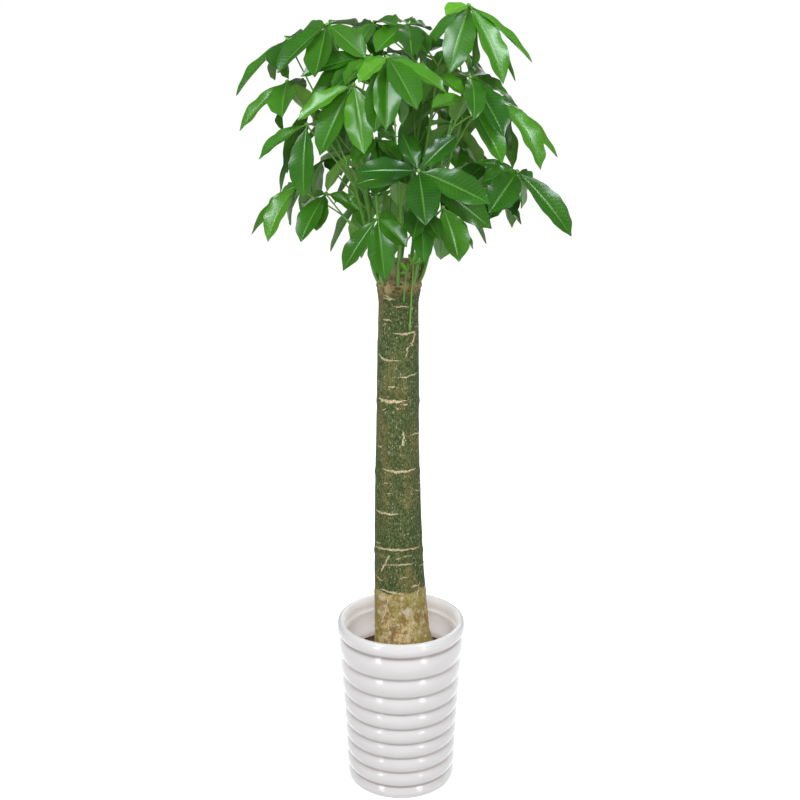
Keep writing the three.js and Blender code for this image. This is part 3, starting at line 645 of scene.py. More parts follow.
# Scars as the photograph shows them, in pixels: left end, thickest place, right end, and thickness.
SCARS_SEEN = [
    ((380, 292), (388, 297), (397, 300), 1.0), ((380, 295), (390, 299), (398, 299), 0.8),
    ((389, 306), (402, 307), (411, 305.5), 1.0), ((380, 317), (387, 320), (393, 321), 1.1),
    ((381, 327), (384, 325), (387, 323), 0.6), ((387, 331), (408, 333.5), (417, 330), 1.5),
    ((378, 352), (384, 359), (403, 359.5), 1.5), ((396, 378), (409, 376), (418, 371.5), 1.3),
    ((377, 379), (379, 381), (381, 383), 0.8), ((378, 396.5), (388, 401.5), (411, 398), 2.4),
    ((402, 405), (405, 404.5), (408, 404), 1.1), ((410, 435.5), (416, 433.5), (420, 432), 1.4),
    ((377, 445), (379, 446.5), (384, 448), 1.0), ((379, 467), (399, 472), (418, 466), 1.9),
    ((382, 484), (386, 483), (390, 484), 0.6), ((413, 491), (417, 490), (420, 488.5), 0.8),
    ((386, 494), (389, 493.5), (392, 494), 0.7), ((375, 508), (384, 513.5), (404, 513), 1.9),
    ((375, 541), (378, 542.5), (382, 543.5), 0.8), ((375, 545), (392, 550), (422, 544), 1.9),
    ((395, 559), (398, 559.5), (401, 558), 1.4), ((377, 562), (400, 565), (419, 561), 1.1),
    ((400, 558), (407, 556), (414, 555), 0.6), ((376, 574), (379, 578), (384, 581), 1.3),
    ((377, 585), (390, 592), (404, 593), 1.3), ((384, 589), (396, 594), (410, 592), 0.8),
    ((411, 588), (416, 585.5), (422, 582), 1.4), ((398, 580), (404, 578), (411, 579), 0.7),
    ((381, 410), (384, 409), (387, 410), 0.8), ((396, 409.5), (397.5, 409), (399, 409.5), 1.3),
    ((404, 389), (407, 388), (410, 388.5), 0.6), ((386, 387), (392, 387), (398, 387.5), 0.8),
]
# Scars that run down the bark: top, bottom, and thickness.
STREAKS_SEEN = [
    ((415, 334), (412, 345), 3.0), ((411, 343), (407, 350), 1.6), ((408, 350), (406, 357), 1.3),
    ((404, 432), (403, 445), 2.0), ((405, 438), (405, 445), 1.3), ((389, 556), (382, 570), 2.0),
    ((388, 600), (385, 612), 2.2), ((385, 612), (383, 622), 2.4), ((419, 587), (416, 600), 1.8),
    ((409, 598), (410, 604), 1.0),
]
# Pale crusts on the old bark: middle and radius.
CRUSTS_SEEN = [
    ((408, 612), 5.5), ((420, 632), 3.0), ((408, 637), 2.7), ((390, 633), 2.6), ((398, 625), 2.2),
    ((419, 611), 1.8), ((381, 597), 3.6), ((386, 606), 2.2), ((413, 623), 1.9), ((424, 622), 1.9),
    ((380, 612), 3.0), ((395, 640), 2.0), ((402, 599), 2.4), ((415, 604), 1.7), ((400, 614), 1.5),
    ((378, 628), 2.2), ((385, 637), 1.8), ((416, 640), 1.8), ((404, 630), 1.4), ((426, 636), 1.6),
]
# Olive patches on the green bark: left, top, right and bottom edge.
OLIVE_SEEN = [(404, 566, 414, 584), (398, 577, 405, 583), (379, 552, 386, 560), (388, 570, 393, 574)]


def ripples(points, wavelength, rng, waves=14):
    """A smooth random field over points, from -1 to 1 or so, with bumps about a wavelength apart."""
    ways = rng.normal(size=(waves, 3))
    ways *= (FULL_TURN / wavelength * rng.uniform(0.6, 1.5, waves) / norm(ways, axis=1))[:, None]
    phases = rng.uniform(0, FULL_TURN, waves)
    return sum(np.sin(points @ way + phase) for way, phase in zip(ways, phases)) / math.sqrt(waves)


def trunk_outline():
    """Heights, the middle's distance to the right, and the bark's radius by bearing, read from the solid."""
    row_height, outside, stray = 4 * MM, 0.2, 2.6 * MM
    solid = welded("trunk")
    tree = BVHTree.FromBMesh(solid)
    solid.free()
    heights = np.arange(TRUNK_FOOT, TRUNK_TOP - 0.5 * MM, row_height)
    middles, radii = [], []
    middle = 0.003
    for z in heights:
        far = []
        for out in spokes(SOLID_SIDES, (1, 0, 0), (0, 1, 0)):
            start = Vector((middle, 0, z)) + Vector(out) * outside
            distance = tree.ray_cast(start, -Vector(out), outside + 50 * MM)[3]
            far.append(np.nan if distance is None else outside - distance)
        far = np.array(far)
        usual = np.nanmedian(far)
        far = np.where(np.abs(far - usual) < stray, far, usual)
        middle += (far[0] - far[SOLID_SIDES // 2]) / 2
        middles.append(middle)
        radii.append(far)
    return heights, np.array(middles), np.array(radii)


LEVELS, MIDDLES, RADII = trunk_outline()


def by_bearing(turns, row):
    """The bark's radius at any bearings, from a row of the solid's radii."""
    return np.interp(turns, turns_of(SOLID_SIDES), row, period=FULL_TURN)


def on_bark(pixel):
    """The bearing and height on the bark of a place in the photograph."""
    right = (pixel[0] - PICTURE / 2) / FOCAL
    rise = (PICTURE / 2 - pixel[1]) / FOCAL
    away, up = TILT_COS + rise * TILT_SIN, rise * TILT_COS - TILT_SIN
    far = -CAMERA_AT[1] / away
    for _ in range(6):
        height = CAMERA_AT[2] + far * up
        radius = np.interp(height, LEVELS, RADII.mean(axis=1))
        aside = CAMERA_AT[0] + far * right - np.interp(height, LEVELS, MIDDLES)
        front = math.sqrt(max(radius ** 2 - aside ** 2, 0))
        far = (-CAMERA_AT[1] - front) / away
    return math.atan2(-front, aside), height


def apart(bearings, bearing):
    """How far bearings lie past a bearing, the short way round."""
    return (bearings - bearing + math.pi) % FULL_TURN - math.pi


def back_scars(rng):
    """Scars of the same kind on the trunk's back, placed by chance."""
    height, last = BACK_SCARS_Z
    while height < last:
        middle, span = rng.uniform(*BACK), rng.uniform(0.35, 0.85)
        sag = rng.uniform(3, 9) * MM
        lowest = (middle + rng.uniform(-0.3, 0.3) * span, height)
        left, right = (middle - span, height + sag), (middle + span, height + sag)
        yield left, lowest, right, rng.uniform(0.8, 2.2) * PIXEL
        height += rng.uniform(0.022, 0.06)


def scar_marks(bearings, heights, surface, rng):
    """How strongly each point of the bark is on a scar."""
    scars = [[*map(on_bark, places), thick * PIXEL] for *places, thick in SCARS_SEEN]
    scars += back_scars(rng)
    marks = np.zeros(heights.shape)
    ragged = ripples(surface, 5 * MM, rng, 20)
    wavy = ripples(surface, 14 * MM, rng, 20) * 1.1 * MM
    for (left, left_z), (mid, mid_z), (right, right_z), thick in scars:
        span = right - left
        share = apart(bearings, left) / span
        peak = np.clip((mid - left) / span, 0.15, 0.85)
        bow = (mid_z - left_z - (right_z - left_z) * peak) / (peak * (1 - peak))
        line = left_z + (right_z - left_z) * share + bow * share * (1 - share) + wavy
        inside = np.clip(share, 0, 1) ** (math.log(0.5) / math.log(peak))
        swell = np.sin(math.pi * inside) ** 1.4
        reach = 0.85 * thick * (0.2 + 0.8 * swell) * (1 + 0.25 * ragged)
        there = ((share > 0) & (share < 1)) * np.minimum(1, 0.45 + 1.2 * swell)
        marks = np.maximum(marks, there * np.exp(-((heights - line) / np.maximum(reach, 0.6 * MM)) ** 2))
    radius = np.hypot(surface[..., 0], surface[..., 1])
    for top, bottom, thick in STREAKS_SEEN:
        (start, start_z), (end, end_z) = on_bark(top), on_bark(bottom)
        share = np.clip((start_z - heights) / (start_z - end_z), 0, 1)
        aside = apart(bearings, start + (end - start) * share) * radius + wavy
        past = np.maximum(heights - start_z, 0) + np.maximum(end_z - heights, 0)
        reach = thick / 2 * PIXEL * (1 + 0.9 * ragged)
        marks = np.maximum(marks, np.exp(-(np.hypot(aside, past) / np.maximum(reach, 0.5 * MM)) ** 2))
    return marks


def crust_marks(bearings, heights, surface, rng):
    """How strongly each point of the bark is under a pale crust."""
    crusts = [[*on_bark(place), size * PIXEL] for place, size in CRUSTS_SEEN]
    crusts += [[rng.uniform(0, math.pi), rng.uniform(*CRUSTS_Z), rng.uniform(3, 11) * MM] for _ in range(26)]
    radius = np.hypot(surface[..., 0], surface[..., 1])
    marks = np.zeros(heights.shape)
    ragged = ripples(surface, 9 * MM, rng, 20)
    for bearing, height, size in crusts:
        off = np.hypot(apart(bearings, bearing) * radius, heights - height) / size
        marks = np.maximum(marks, 1 - smoothstep(0.7, 1.0, off + 0.16 * ragged))
    return marks


def olive_marks(bearings, heights):
    marks = np.zeros(heights.shape)
    for left, top, right, bottom in OLIVE_SEEN:
        (start, high), (end, low) = on_bark((left, top)), on_bark((right, bottom))
        across = smoothstep(0, 0.1, bearings - start) * (1 - smoothstep(-0.1, 0, bearings - end))
        down = smoothstep(0, 4 * MM, heights - low) * (1 - smoothstep(-4 * MM, 0, heights - high))
        marks = np.maximum(marks, across * down)
    return marks


def cut_top(rim, aside):
    """Rings of points over the cut top, a little hollow and rough."""
    centre = np.array([aside, 0, TRUNK_TOP])
    shares = np.array(CUT_SHARES)[:, None]
    discs = centre + (rim - centre) * shares[..., None]
    discs[..., 2] = TRUNK_TOP - 1.5 * MM * smoothstep(1.0, 0.8, shares)
    discs[..., 2] += 0.5 * MM * ripples(discs, 8 * MM, np.random.default_rng(5))
    discs[..., 2] = np.minimum(discs[..., 2], TRUNK_TOP)
    return discs.reshape(-1, 3)


def dress_trunk(rng, stem_feet):
    """The bark with its relief, and the colours that say where its scars, zones, crusts and swelling are."""
    z = np.append(np.arange(LEVELS[0], TRUNK_TOP, TRUNK_ROW), TRUNK_TOP)
    turns = turns_of(TRUNK_SIDES)
    by_height = np.array([np.interp(z, LEVELS, column) for column in RADII.T]).T
    radius = np.array([by_bearing(turns, row) for row in by_height])
    for _ in range(3):
        radius = (np.roll(radius, 1, axis=1) + 2 * radius + np.roll(radius, -1, axis=1)) / 4
        radius = smoothed(radius, 1)
    middle = np.interp(z, LEVELS, MIDDLES)[:, None]
    bearings, levels = np.meshgrid((turns + math.pi) % FULL_TURN - math.pi, z)
    surface = loop(bearings, radius, levels)
    marks = scar_marks(bearings, levels, surface, rng)
    crusts = crust_marks(bearings, levels, surface, rng)
    callus = np.exp(-((levels - CALLUS_Z + 4 * MM * np.sin(5 * bearings)) / (15 * MM)) ** 4)
    stub = smoothstep(STUB_Z - 3 * MM, STUB_Z + 5 * MM, levels)
    edge = ZONE_Z + 2.5 * MM * (np.cos(bearings) + np.sin(7 * bearings))
    old = 1 - smoothstep(-2 * MM, 2.5 * MM, levels - edge + ripples(surface, 6 * MM, rng, 20) * 1.5 * MM)
    # The relief is in millimetres.
    fine = ripples(surface * (1, 1, 0.12), 7 * MM, rng, 24)
    lumps = 1 - 1.6 * np.abs(ripples(surface * (0.8, 0.8, 1.2), 13 * MM, rng, 24))
    wrinkles = ripples(surface * (0.35, 0.35, 1), 5 * MM, rng, 24)
    relief = 0.22 * fine + 0.25 * ripples(surface, 60 * MM, rng) + 0.9 * marks * (1 - callus)
    relief += 1.7 * callus * lumps + 0.8 * stub * wrinkles + 0.35 * crusts
    relief += 0.3 * old * ripples(surface, 9 * MM, rng, 24)
    for foot in stem_feet:
        off = norm(loop(bearings, radius, levels, middle) - foot, axis=-1)
        relief += 2.6 * np.exp(-(off / (10 * MM)) ** 2)
        callus = np.maximum(callus, np.exp(-(off / (13 * MM)) ** 2))
    # Painted shade: the callus is darkened in the hollows between its lumps.
    shaded_hollows = callus * smoothstep(0.1, 0.9, -lumps)
    olive = olive_marks(bearings, levels)
    bark_points = loop(bearings, radius + relief * MM, levels, middle)
    top_points = cut_top(bark_points[-1], middle[-1, 0])

    def whole(*marks_on_bark):
        """Colours of all points, from the marks on the bark."""
        on_top = np.zeros((len(top_points), 4))
        return np.vstack([np.stack(marks_on_bark, axis=-1).reshape(-1, 4), on_top])

    faces = ring_faces(len(z) + len(CUT_SHARES), TRUNK_SIDES)
    materials = [BARK] * (len(z) - 1) * TRUNK_SIDES + [CUT] * len(top_points) + [BARK, CUT]
    builder = Builder()
    points = np.vstack([bark_points.reshape(-1, 3), top_points])
    builder.add(points, faces, materials, whole(marks, old, callus, 1 - stub))
    piece = builder.piece("trunk_bark", ["trunk"], "bark", [bark, cut_wood])
    paint(piece.data, "patches", whole(crusts, olive, shaded_hollows, np.ones_like(olive)))


# ---------- pot and soil
POT_SIDES = 192
RIB_SHAPE = 0.6
RIB_ROWS = 14
CREASE_FADE = 0.2  # how soon the pooled glaze tint and its painted crease shade fade beside a crease, as a share of its outline
SOIL_SIDES = 160
BARK_GAP = 0.4 * MM
BURIED_HEIGHTS = (TRUNK_FOOT - BARK_GAP, 0.17, 0.2, 0.25, 0.285)
SOIL_MEETS_BARK = 0.303
SOIL_CROWN = 4.2 * MM
FLOOR_CORNER = 0.1105  # the soil's outer side lies farther out than this
TOP_RINGS = 34
CHIPS = 420
CHIP_HALVES = ((2.5, 7.5), (1.5, 4), (0.5, 1.3))  # between which millimetres half of a chip's sizes lie


def pot_outline():
    """The pot's outline in the frame, from the edge of its foot up, over the rim and down to its floor."""
    solid = welded("pot")
    column = {v for v in solid.verts if abs(v.co.y) < OFF_PLANE and v.co.x > 0.02}
    here = max((v for v in column if abs(v.co.z) < OFF_PLANE), key=lambda v: v.co.x)
    outline = []
    while here is not None:
        outline.append((here.co.x, here.co.z))
        column.remove(here)
        onward = [v for v in around(here) if v in column and v.co.z > 0.5 * MM]
        here = onward[0] if onward else None
    solid.free()
    return np.array(outline)


def rib_rows(corners):
    """The round outline of a rib, from its four corners."""
    (foot_r, foot_z), (crest_r, crest_z), _, (top_r, top_z) = corners
    s = np.linspace(0, 1, RIB_ROWS + 1)[:-1]
    share = (crest_z - foot_z) / (top_z - foot_z)
    bulge = (crest_r - foot_r - (top_r - foot_r) * share) / math.sin(math.pi * share) ** RIB_SHAPE
    hump = np.sin(math.pi * s) ** RIB_SHAPE
    radius = foot_r + (top_r - foot_r) * s + bulge * hump
    return np.stack([radius, foot_z + (top_z - foot_z) * s, hump], axis=1)


def smooth_outline(outline):
    """The outline with round ribs between the creases. Each point has its height over the creases."""
    before, here, after = outline[:-2, 0], outline[1:-1, 0], outline[2:, 0]
    creases = list(np.flatnonzero((here < before) & (here < after)) + 1)
    stops = [1, *creases, len(outline) - 1]
    parts = [[[*outline[0], 1.0]]]
    for start, end in zip(stops, stops[1:]):
        corners = outline[start:end + 1]
        if end - start == 3:
            parts.append(rib_rows(corners))
            continue
        line = spline(np.pad(corners, ((0, 0), (0, 1))), 8 * (end - start) + 1)[:-1]
        along = np.linspace(0, 1, len(line))
        rise = np.ones(len(line))
        if start in creases:
            rise *= np.minimum(along / CREASE_FADE, 1)
        if end in creases:
            rise *= np.minimum((1 - along) / CREASE_FADE, 1)
        parts.append(np.column_stack([line[:, :2], rise]))
    whole = np.vstack([*parts, [*outline[-1], 1.0]])
    smoothed(whole[1:-1, :2], 1)
    whole[:, 1] = np.maximum(whole[:, 1], 0)
    return whole


def dress_pot(rng):
    """The pot with its ribs. Its colours hold how far out of a crease a point is, and if it is inside."""
    outline = smooth_outline(pot_outline())
    foot, floor = outline[0], outline[-1]
    outline = np.vstack([[foot[0] / 2, 0, 1], outline, [floor[0] / 2, floor[1], 1]])
    turns = turns_of(POT_SIDES)
    r, z, rise = outline.T[..., None]
    wobble = ripples(loop(turns, r, z), 90 * MM, rng) * 0.22 * MM - 0.25 * MM
    free = (z > 4 * MM) & (rise > 0)
    points = loop(turns, r + wobble * free, z)
    rows = len(z)
    inside = np.arange(rows)[:, None] > np.argmax(z)
    # rise carries the glaze's pooled tint and painted crease shade; inside carries its painted inner light.
    tint = np.repeat(np.hstack([rise, inside, rise, np.ones_like(rise)]), POT_SIDES, axis=0)
    builder = Builder()
    builder.add(points.reshape(-1, 3), ring_faces(rows, POT_SIDES), 0, tint)
    builder.piece("pot_glazed", ["pot"], "glaze", [glaze])


def soil_side():
    """Radius and height of the corners of the soil's outer side, from its floor up."""
    solid = welded("soil")
    section = {(round(v.co.x, 5), round(v.co.z, 5)) for v in solid.verts
               if abs(v.co.y) < OFF_PLANE and v.co.x > FLOOR_CORNER}
    solid.free()
    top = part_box("soil")[1].z
    return sorted([corner for corner in section if corner[1] < top - 3 * MM], key=lambda corner: corner[1])


def dress_soil(rng):
    """The soil round the trunk's buried end, its crumbly top and its outer side."""
    turns = turns_of(SOIL_SIDES)

    def round_bark(height):
        row = np.argmin(np.abs(LEVELS - height))
        return loop(turns, by_bearing(turns, RADII[row]) + BARK_GAP, height, MIDDLES[row])

    *lower, (wall, top) = soil_side()
    share = np.linspace(0, 1, TOP_RINGS)[:, None]
    near = round_bark(SOIL_MEETS_BARK)
    surface = near + (loop(turns, wall, top) - near) * share[..., None]
    surface[..., 2] = top + SOIL_CROWN * (1 - smoothstep(0.0, 0.85, share))
    lumps = (ripples(surface, 22 * MM, rng, 24) * 1.1 + ripples(surface, 7 * MM, rng, 24) * 0.8 - 0.6) * MM
    surface[..., 2] += lumps * np.sin(math.pi * np.clip(share, 0.02, 0.985)) ** 0.3
    outer = [loop(turns, radius, height) for radius, height in lower[::-1]]
    rings = [*(round_bark(height) for height in BURIED_HEIGHTS), *surface, *outer]
    builder = Builder()
    builder.add(np.vstack(rings), flipped(ring_faces(len(rings), SOIL_SIDES)), 0, [0, 0, 0, 1])
    builder.piece("soil_surface", ["soil"], "soil", [soil])
    dress_chips(rng, surface)


def dress_chips(rng, surface):
    """Chips of bark that lie on the soil."""
    corners = np.array(list(itertools.product((-1.0, 1.0), repeat=3)))
    box_faces = [(0, 1, 3, 2), (4, 6, 7, 5), (0, 4, 5, 1), (2, 3, 7, 6), (0, 2, 6, 4), (1, 5, 7, 3)]
    builder = Builder()
    rings, sides = surface.shape[:2]
    for _ in range(CHIPS):
        at = surface[int(rng.triangular(2, 18, rings - 5)), rng.integers(sides)]
        half = np.array([rng.uniform(*size) for size in CHIP_HALVES]) * MM
        shape = corners * half * (1 + 0.35 * rng.uniform(-1, 1, (8, 3)))
        turn = Euler((rng.normal(0, 0.22), rng.normal(0, 0.22), rng.uniform(0, 6.28))).to_matrix()
        placed = shape @ np.array(turn).T + at + np.array([0, 0, 0.5 * MM])
        builder.add(placed, box_faces, 0, [rng.random(), rng.random(), rng.random(), 1])
    builder.piece("soil_chips", [], "soil", [chips]).data.shade_flat()


# ---------- materials
class Nodes:
    """A node tree, with short names for the nodes that it is made of."""

    def __init__(self, tree):
        self.tree = tree

    def fill(self, made, inputs):
        """Puts values, colours or other nodes' outputs on a node's inputs."""
        for name, value in inputs.items():
            socket = made.inputs[name]
            if isinstance(value, bpy.types.NodeSocket):
                self.tree.links.new(value, socket)
            else:
                socket.default_value = (*value, 1.0) if socket.type == "RGBA" else value

    def add(self, kind, inputs=None, **settings):
        """The outputs of a new node with these settings and inputs."""
        made = self.tree.nodes.new("ShaderNode" + kind)
        for name, value in settings.items():
            setattr(made, name, value)
        self.fill(made, inputs or {})
        return made.outputs

    def calc(self, operation, *values):
        return self.add("Math", dict(enumerate(values)), operation=operation)[0]

    def times(self, first, second):
        return self.calc("MULTIPLY", first, second)

    def without(self, share):
        """What a share leaves of the whole."""
        return self.calc("SUBTRACT", 1.0, share)

    def step(self, low, high, value):
        inputs = {"Value": value, "From Min": low, "From Max": high}
        return self.add("MapRange", inputs, interpolation_type="SMOOTHSTEP")["Result"]

    def mix(self, share, first, second, most=1.0):
        """The first colour, with the second over it as far as the share says, or as a part of that."""
        share = share if most == 1.0 else self.times(share, most)
        return self.add("Mix", {0: share, 6: first, 7: second}, data_type="RGBA")[2]

    def place(self, upward=1.0):
        """The place on the plant. A pattern is drawn out upwards where the upward scale is under one."""
        place = self.add("TexCoord")["Object"]
        return self.add("Mapping", {"Vector": place, "Scale": (1, 1, upward)})["Vector"]

    def noise(self, scale, detail=4.0, rough=0.55, upward=1.0):
        inputs = {"Vector": self.place(upward), "Scale": scale, "Detail": detail, "Roughness": rough}
        return self.add("TexNoise", inputs)["Fac"]

    def painted(self, name):
        """The red, green, blue and alpha of a colour that the mesh holds."""
        held = self.add("Attribute", attribute_name=name)
        return *self.add("SeparateColor", {"Color": held["Color"]}), held["Alpha"]


class Look(Nodes):
    """A material and the nodes of its look."""

    def __init__(self, name, inputs):
        self.material = bpy.data.materials.new(name)
        self.material.use_nodes = True
        super().__init__(self.material.node_tree)
        self.shader = self.tree.nodes["Principled BSDF"]
        self.fill(self.shader, inputs)

    def finished(self, color, height, strength, depth):
        """The material, with its colour and its bump put on the shader."""
        bump = self.add("Bump", {"Height": height, "Strength": strength, "Distance": depth})
        self.fill(self.shader, {"Base Color": color, "Normal": bump["Normal"]})
        return self.material


def vein_marks(look):
    """How strongly a place on a leaflet is on a side vein, and on the midrib."""
    along, across, _ = look.add("SeparateXYZ", {"Vector": look.add("UVMap", uv_map="blade")["UV"]})
    side = look.calc("ABSOLUTE", look.calc("MULTIPLY_ADD", across, 2.0, -1.0))
    from_vein = look.calc("PINGPONG", look.times(along, float(VEINS)), 0.5)
    near_vein = look.without(look.step(0.0, 0.14, from_vein))
    vein = look.times(near_vein, look.without(look.step(0.6, 0.98, side)))
    return vein, look.without(look.step(0.02, 0.075, side))


def make_leaf(name, roughness, dark, light, young, rib):
    look = Look(name, {"Roughness": roughness, "Specular IOR Level": 0.5})
    youth, lightness, chance, _ = look.painted("tint")
    vein, midrib = vein_marks(look)
    lightness = look.calc("MULTIPLY_ADD", lightness, 0.8, -0.35)
    shade = look.calc("MULTIPLY_ADD", look.noise(14.0), 0.9, lightness)
    color = look.mix(youth, look.mix(shade, dark, light), young)
    color = look.mix(chance, color, young, 0.11)
    color = look.mix(vein, color, rib, 0.12)
    color = look.mix(midrib, color, rib, 0.36)
    height = look.calc("MULTIPLY_ADD", look.noise(420.0, 1.0), 0.06, look.times(vein, -0.4))
    return look.finished(color, height, strength=0.3, depth=0.6 * MM)


def make_green_stem():
    look = Look("green_stem", {"Roughness": 0.42})
    young = look.painted("tint")[0]
    streaks = look.noise(260.0, upward=0.15)
    color = look.mix(young, (0.035, 0.130, 0.012), (0.20, 0.47, 0.045))
    color = look.mix(streaks, color, (0.06, 0.19, 0.02), 0.35)
    return look.finished(color, streaks, strength=0.3, depth=0.6 * MM)


# The bark's colours. Those in pairs are a darker and a lighter tone.
GREEN_BARK = (0.030, 0.058, 0.013), (0.150, 0.172, 0.060)
OLIVE_BARK = (0.095, 0.086, 0.020), (0.270, 0.235, 0.085)
OLD_BARK = (0.32, 0.205, 0.075), (0.68, 0.54, 0.27)
CRUST = (0.50, 0.43, 0.30), (0.80, 0.74, 0.60)
SCAR = (0.42, 0.31, 0.13), (0.94, 0.82, 0.56)
CALLUS = (0.20, 0.13, 0.05), (0.50, 0.37, 0.20)
STUB = (0.11, 0.085, 0.035), (0.33, 0.26, 0.13)
GREEN_BLOTCH, FLECK = (0.026, 0.062, 0.015), (0.42, 0.42, 0.29)
OLD_MOSS, OLD_DIRT = (0.36, 0.34, 0.080), (0.15, 0.09, 0.03)
# The first and last colours on the line below are darkenings: a scar's own dark rim with painted shadow under
# it, and painted shade in the callus's hollows.
SCAR_RIM_SHADOW, CALLUS_MOSS, HOLLOW_SHADE = (0.07, 0.05, 0.02), (0.26, 0.22, 0.09), (0.05, 0.03, 0.012)
# Light flecks of two sizes on the green bark: how many there are, and where the edge of one starts and ends.
FLECKS = ((120.0, 0.12, 0.26), (230.0, 0.16, 0.34))


def make_bark():
    look = Look("bark", {"Roughness": 0.8, "Specular IOR Level": 0.25})
    scar, old, callus, below_stub = look.painted("tint")
    crusted, olive_patch, hollow_shade, _ = look.painted("patches")
    fine = look.noise(500.0, 4.0, 0.7, upward=0.3)
    speckle = look.noise(280.0, 5.0, 0.8, upward=0.6)
    broad = look.noise(17.0, 4.0, upward=0.4)
    blotches = look.noise(60.0, 5.0, 0.7, upward=0.8)
    green = look.mix(look.step(0.42, 0.60, speckle), *GREEN_BARK)
    olive = look.mix(look.step(0.40, 0.60, speckle), *OLIVE_BARK)
    green = look.mix(look.step(0.48, 0.66, broad), green, olive, 0.7)
    green = look.mix(look.step(0.52, 0.64, blotches), green, GREEN_BLOTCH, 0.55)
    for scale, low, high in FLECKS:
        cells = look.add("TexVoronoi", {"Vector": look.place(0.6), "Scale": scale})
        chance = look.add("SeparateColor", {"Color": cells["Color"]})["Red"]
        fleck = look.without(look.step(low, high, cells["Distance"]))
        green = look.mix(look.times(fleck, look.step(0.45, 0.80, chance)), green, FLECK, 0.75)
    green = look.mix(olive_patch, green, olive, 0.85)
    tan = look.mix(look.step(0.42, 0.58, blotches), *OLD_BARK)
    tan = look.mix(look.step(0.46, 0.58, broad), tan, OLD_MOSS, 0.6)
    tan = look.mix(look.step(0.48, 0.60, speckle), tan, OLD_DIRT, 0.6)
    tan = look.mix(crusted, tan, look.mix(look.step(0.4, 0.6, speckle), *CRUST), 0.75)
    color = look.mix(old, green, tan)
    ragged = look.calc("MULTIPLY_ADD", look.calc("SUBTRACT", speckle, 0.5), 0.9, scar)
    # Dark ring round each scar: partly the scar's own dark rim, partly painted shadow under its raised edge.
    color = look.mix(look.step(0.12, 0.32, ragged), color, SCAR_RIM_SHADOW, 0.35)
    flesh = look.mix(look.step(0.38, 0.64, fine), *SCAR)
    color = look.mix(look.step(0.36, 0.60, ragged), color, flesh, 0.85)
    swollen = look.mix(look.step(0.42, 0.60, blotches), *CALLUS)
    swollen = look.mix(look.step(0.45, 0.6, speckle), swollen, CALLUS_MOSS, 0.5)
    # Painted shade in the hollows between the callus's lumps.
    swollen = look.mix(hollow_shade, swollen, HOLLOW_SHADE, 0.85)
    color = look.mix(callus, color, swollen, 0.92)
    dry = look.mix(look.step(0.40, 0.60, blotches), *STUB)
    color = look.mix(look.without(below_stub), color, dry, 0.85)
    height = look.calc("MULTIPLY_ADD", speckle, 0.8, look.times(fine, 0.6))
    return look.finished(color, height, strength=0.6, depth=1.4 * MM)


def make_cut_wood():
    look = Look("cut_wood", {"Roughness": 0.85})
    inputs = {"Vector": look.place(), "Scale": 60.0, "Distortion": 3.0, "Detail": 3.0}
    rings = look.add("TexWave", inputs, wave_type="RINGS", rings_direction="Z")["Fac"]
    color = look.mix(rings, (0.28, 0.20, 0.10), (0.45, 0.36, 0.21))
    color = look.mix(look.step(0.45, 0.7, look.noise(60.0)), color, (0.16, 0.11, 0.06))
    return look.finished(color, rings, strength=0.4, depth=1 * MM)


def make_glaze():
    """White glaze with a pooled tint and painted shade in the creases; inside, painted light: a lighter white
    and a faint glow for bounced light.
    """
    look = Look("glaze", {"Roughness": 0.16, "Specular IOR Level": 0.35, "Coat Weight": 0.6,
                          "Coat Roughness": 0.03, "Emission Color": (1.0, 0.94, 0.95)})
    rise, inside = look.painted("tint")[:2]
    white = look.mix(look.noise(9.0, 2.0), (0.90, 0.865, 0.86), (0.93, 0.90, 0.89))
    pooled_and_shaded, inner_lit_white, speck = (0.50, 0.42, 0.43), (0.93, 0.92, 0.92), (0.45, 0.38, 0.3)
    # Pooled glaze tint and painted crease shade: the glaze darkens towards each crease.
    color = look.mix(look.step(0.0, 0.65, rise), pooled_and_shaded, white)
    # Painted light: the inside is a lighter white than the outside, to lift the shade in the pot's mouth.
    color = look.mix(inside, color, inner_lit_white)
    color = look.mix(look.step(0.74, 0.80, look.noise(260.0, 1.0)), color, speck, 0.06)
    # Painted light: a faint glow inside the pot, though it is no lamp.
    look.fill(look.shader, {"Emission Strength": look.times(inside, 0.18)})
    return look.finished(color, look.noise(38.0, 2.0), strength=0.12, depth=1.5 * MM)


def make_soil():
    look = Look("soil", {"Roughness": 0.95})
    crumbs = look.noise(240.0, 6.0, 0.7)
    color = look.mix(look.step(0.35, 0.7, crumbs), (0.045, 0.028, 0.016), (0.21, 0.115, 0.055))
    return look.finished(color, crumbs, strength=0.9, depth=3 * MM)


def make_chips():
    look = Look("chips", {"Roughness": 0.85})
    redness, dirt = look.painted("tint")[:2]
    grain = look.noise(500.0)
    color = look.mix(redness, (0.14, 0.07, 0.035), (0.80, 0.38, 0.14))
    color = look.mix(dirt, color, (0.15, 0.10, 0.06), 0.4)
    color = look.mix(grain, color, (0.06, 0.035, 0.02), 0.5)
    return look.finished(color, grain, strength=0.6, depth=1 * MM)


leaf_upper = make_leaf("leaf_upper", 0.30, dark=(0.005, 0.052, 0.002), light=(0.042, 0.215, 0.008),
                       young=(0.15, 0.42, 0.02), rib=(0.20, 0.46, 0.08))
leaf_under = make_leaf("leaf_under", 0.52, dark=(0.034, 0.160, 0.009), light=(0.12, 0.33, 0.030),
                       young=(0.24, 0.50, 0.045), rib=(0.30, 0.50, 0.14))
green_stem = make_green_stem()
bark = make_bark()
cut_wood = make_cut_wood()
glaze = make_glaze()
soil = make_soil()
chips = make_chips()

rng = np.random.default_rng(SEED)
stem_feet = [dress_shoot(shoot, rng) for shoot in SHOOTS]
for sprout in SPROUTS:
    dress_sprout(sprout, rng)
dress_trunk(rng, stem_feet)
dress_pot(rng)
dress_soil(rng)

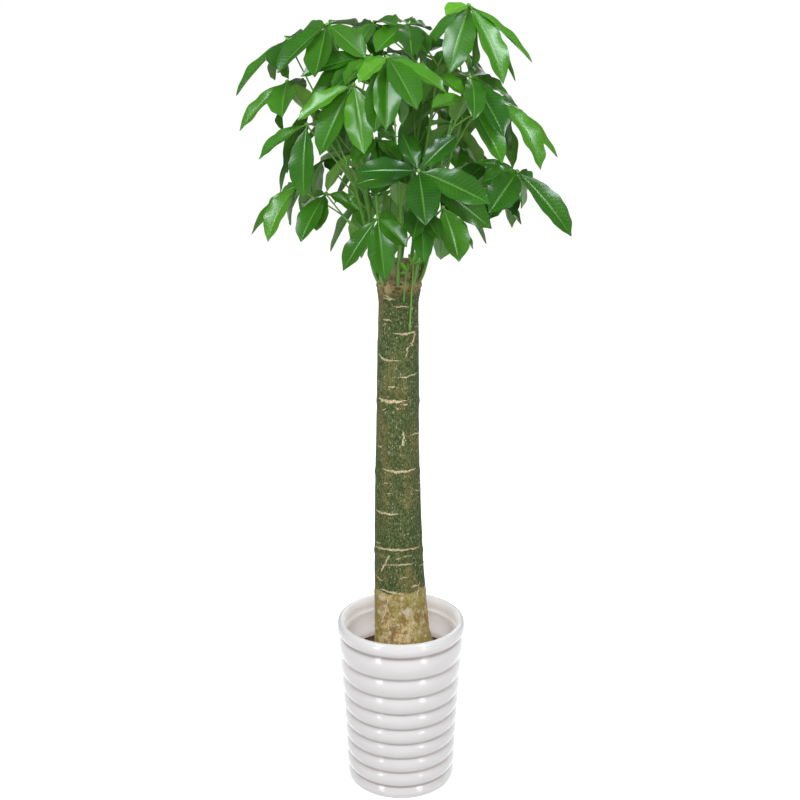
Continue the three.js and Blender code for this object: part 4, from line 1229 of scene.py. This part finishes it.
# ---------- camera, light and floor
# How bright the room is for what it lights, behind the plant, and in its reflections.
ROOM_LIGHT, ROOM_SEEN, ROOM_MIRRORED = 0.40, 1.03, 0.16
COOL_LIGHT = (0.86, 0.94, 1.0)
FLOOR_RADIUS = 6
FLOOR_GLOW = 0.9


def set_camera():
    camera = new_object("camera", bpy.data.cameras.new("camera"))
    camera.data.sensor_width = 36
    camera.data.lens = camera.data.sensor_width * FOCAL / PICTURE
    camera.location = CAMERA_AT
    camera.rotation_euler = (math.radians(90) - CAMERA_TILT, 0, 0)
    scene.camera = camera


def add_softbox(name, place, target, size, power, spread=180, color=(1, 1, 1)):
    """A soft box that faces a target, with its power in watts and its spread in degrees."""
    light = bpy.data.lights.new(name, "AREA")
    light.shape = "RECTANGLE"
    light.size, light.size_y = size
    light.energy = power
    light.spread = math.radians(spread)
    light.color = color
    box = new_object(name, light)
    box.location = place
    box.rotation_euler = (Vector(target) - Vector(place)).to_track_quat("-Z", "Y").to_euler()
    return box


def set_lights():
    """A wide soft box over the camera, one behind, two over the crown's sides, small low ones that only
    glint on the glaze, and a pale room."""
    fill = add_softbox("box_front", (0, -3.2, 2.0), (0, 0, 0.6), (1.4, 1.0), 43)
    fill.visible_glossy = False
    for side in (-1, 1):
        add_softbox("box_crown", (side * 1.5, -1.4, 3.1), (0, 0, 1.5), (0.8, 0.8), 4.5, 60, COOL_LIGHT)
        for height in (0.3, 0.9):
            glint = add_softbox("box_low", (side * 2.0, -2.4, height), (0, 0, 0.15), (0.6, 0.32), 0.24, 36)
            glint.visible_diffuse = False
    add_softbox("box_back", (0.9, 2.8, 2.6), (0, 0, 1.0), (1.6, 1.2), 13)
    world = bpy.data.worlds.new("world")
    scene.world = world
    world.use_nodes = True
    room = Nodes(world.node_tree)
    path = room.add("LightPath")
    strength = room.calc("MULTIPLY_ADD", path["Is Camera Ray"], ROOM_SEEN - ROOM_LIGHT, ROOM_LIGHT)
    strength = room.calc("MULTIPLY_ADD", path["Is Glossy Ray"], ROOM_MIRRORED - ROOM_LIGHT, strength)
    room.fill(world.node_tree.nodes["Background"], {"Color": (1, 1, 1), "Strength": strength})


def set_floor():
    """A pale floor, which throws no light back up so that the plant is lit alike from all sides."""
    mesh = bpy.data.meshes.new("floor")
    shape = bmesh.new()
    bmesh.ops.create_circle(shape, cap_ends=True, segments=128, radius=FLOOR_RADIUS)
    shape.to_mesh(mesh)
    shape.free()
    look = Look("floor", {"Roughness": 0.95, "Base Color": (0.93, 0.93, 0.93),
                          "Emission Color": (1, 1, 1), "Emission Strength": FLOOR_GLOW})
    mesh.materials.append(look.material)
    floor = new_object("floor", mesh)
    floor.visible_diffuse = False


scene.view_settings.view_transform = "Standard"
set_camera()
set_lights()
set_floor()
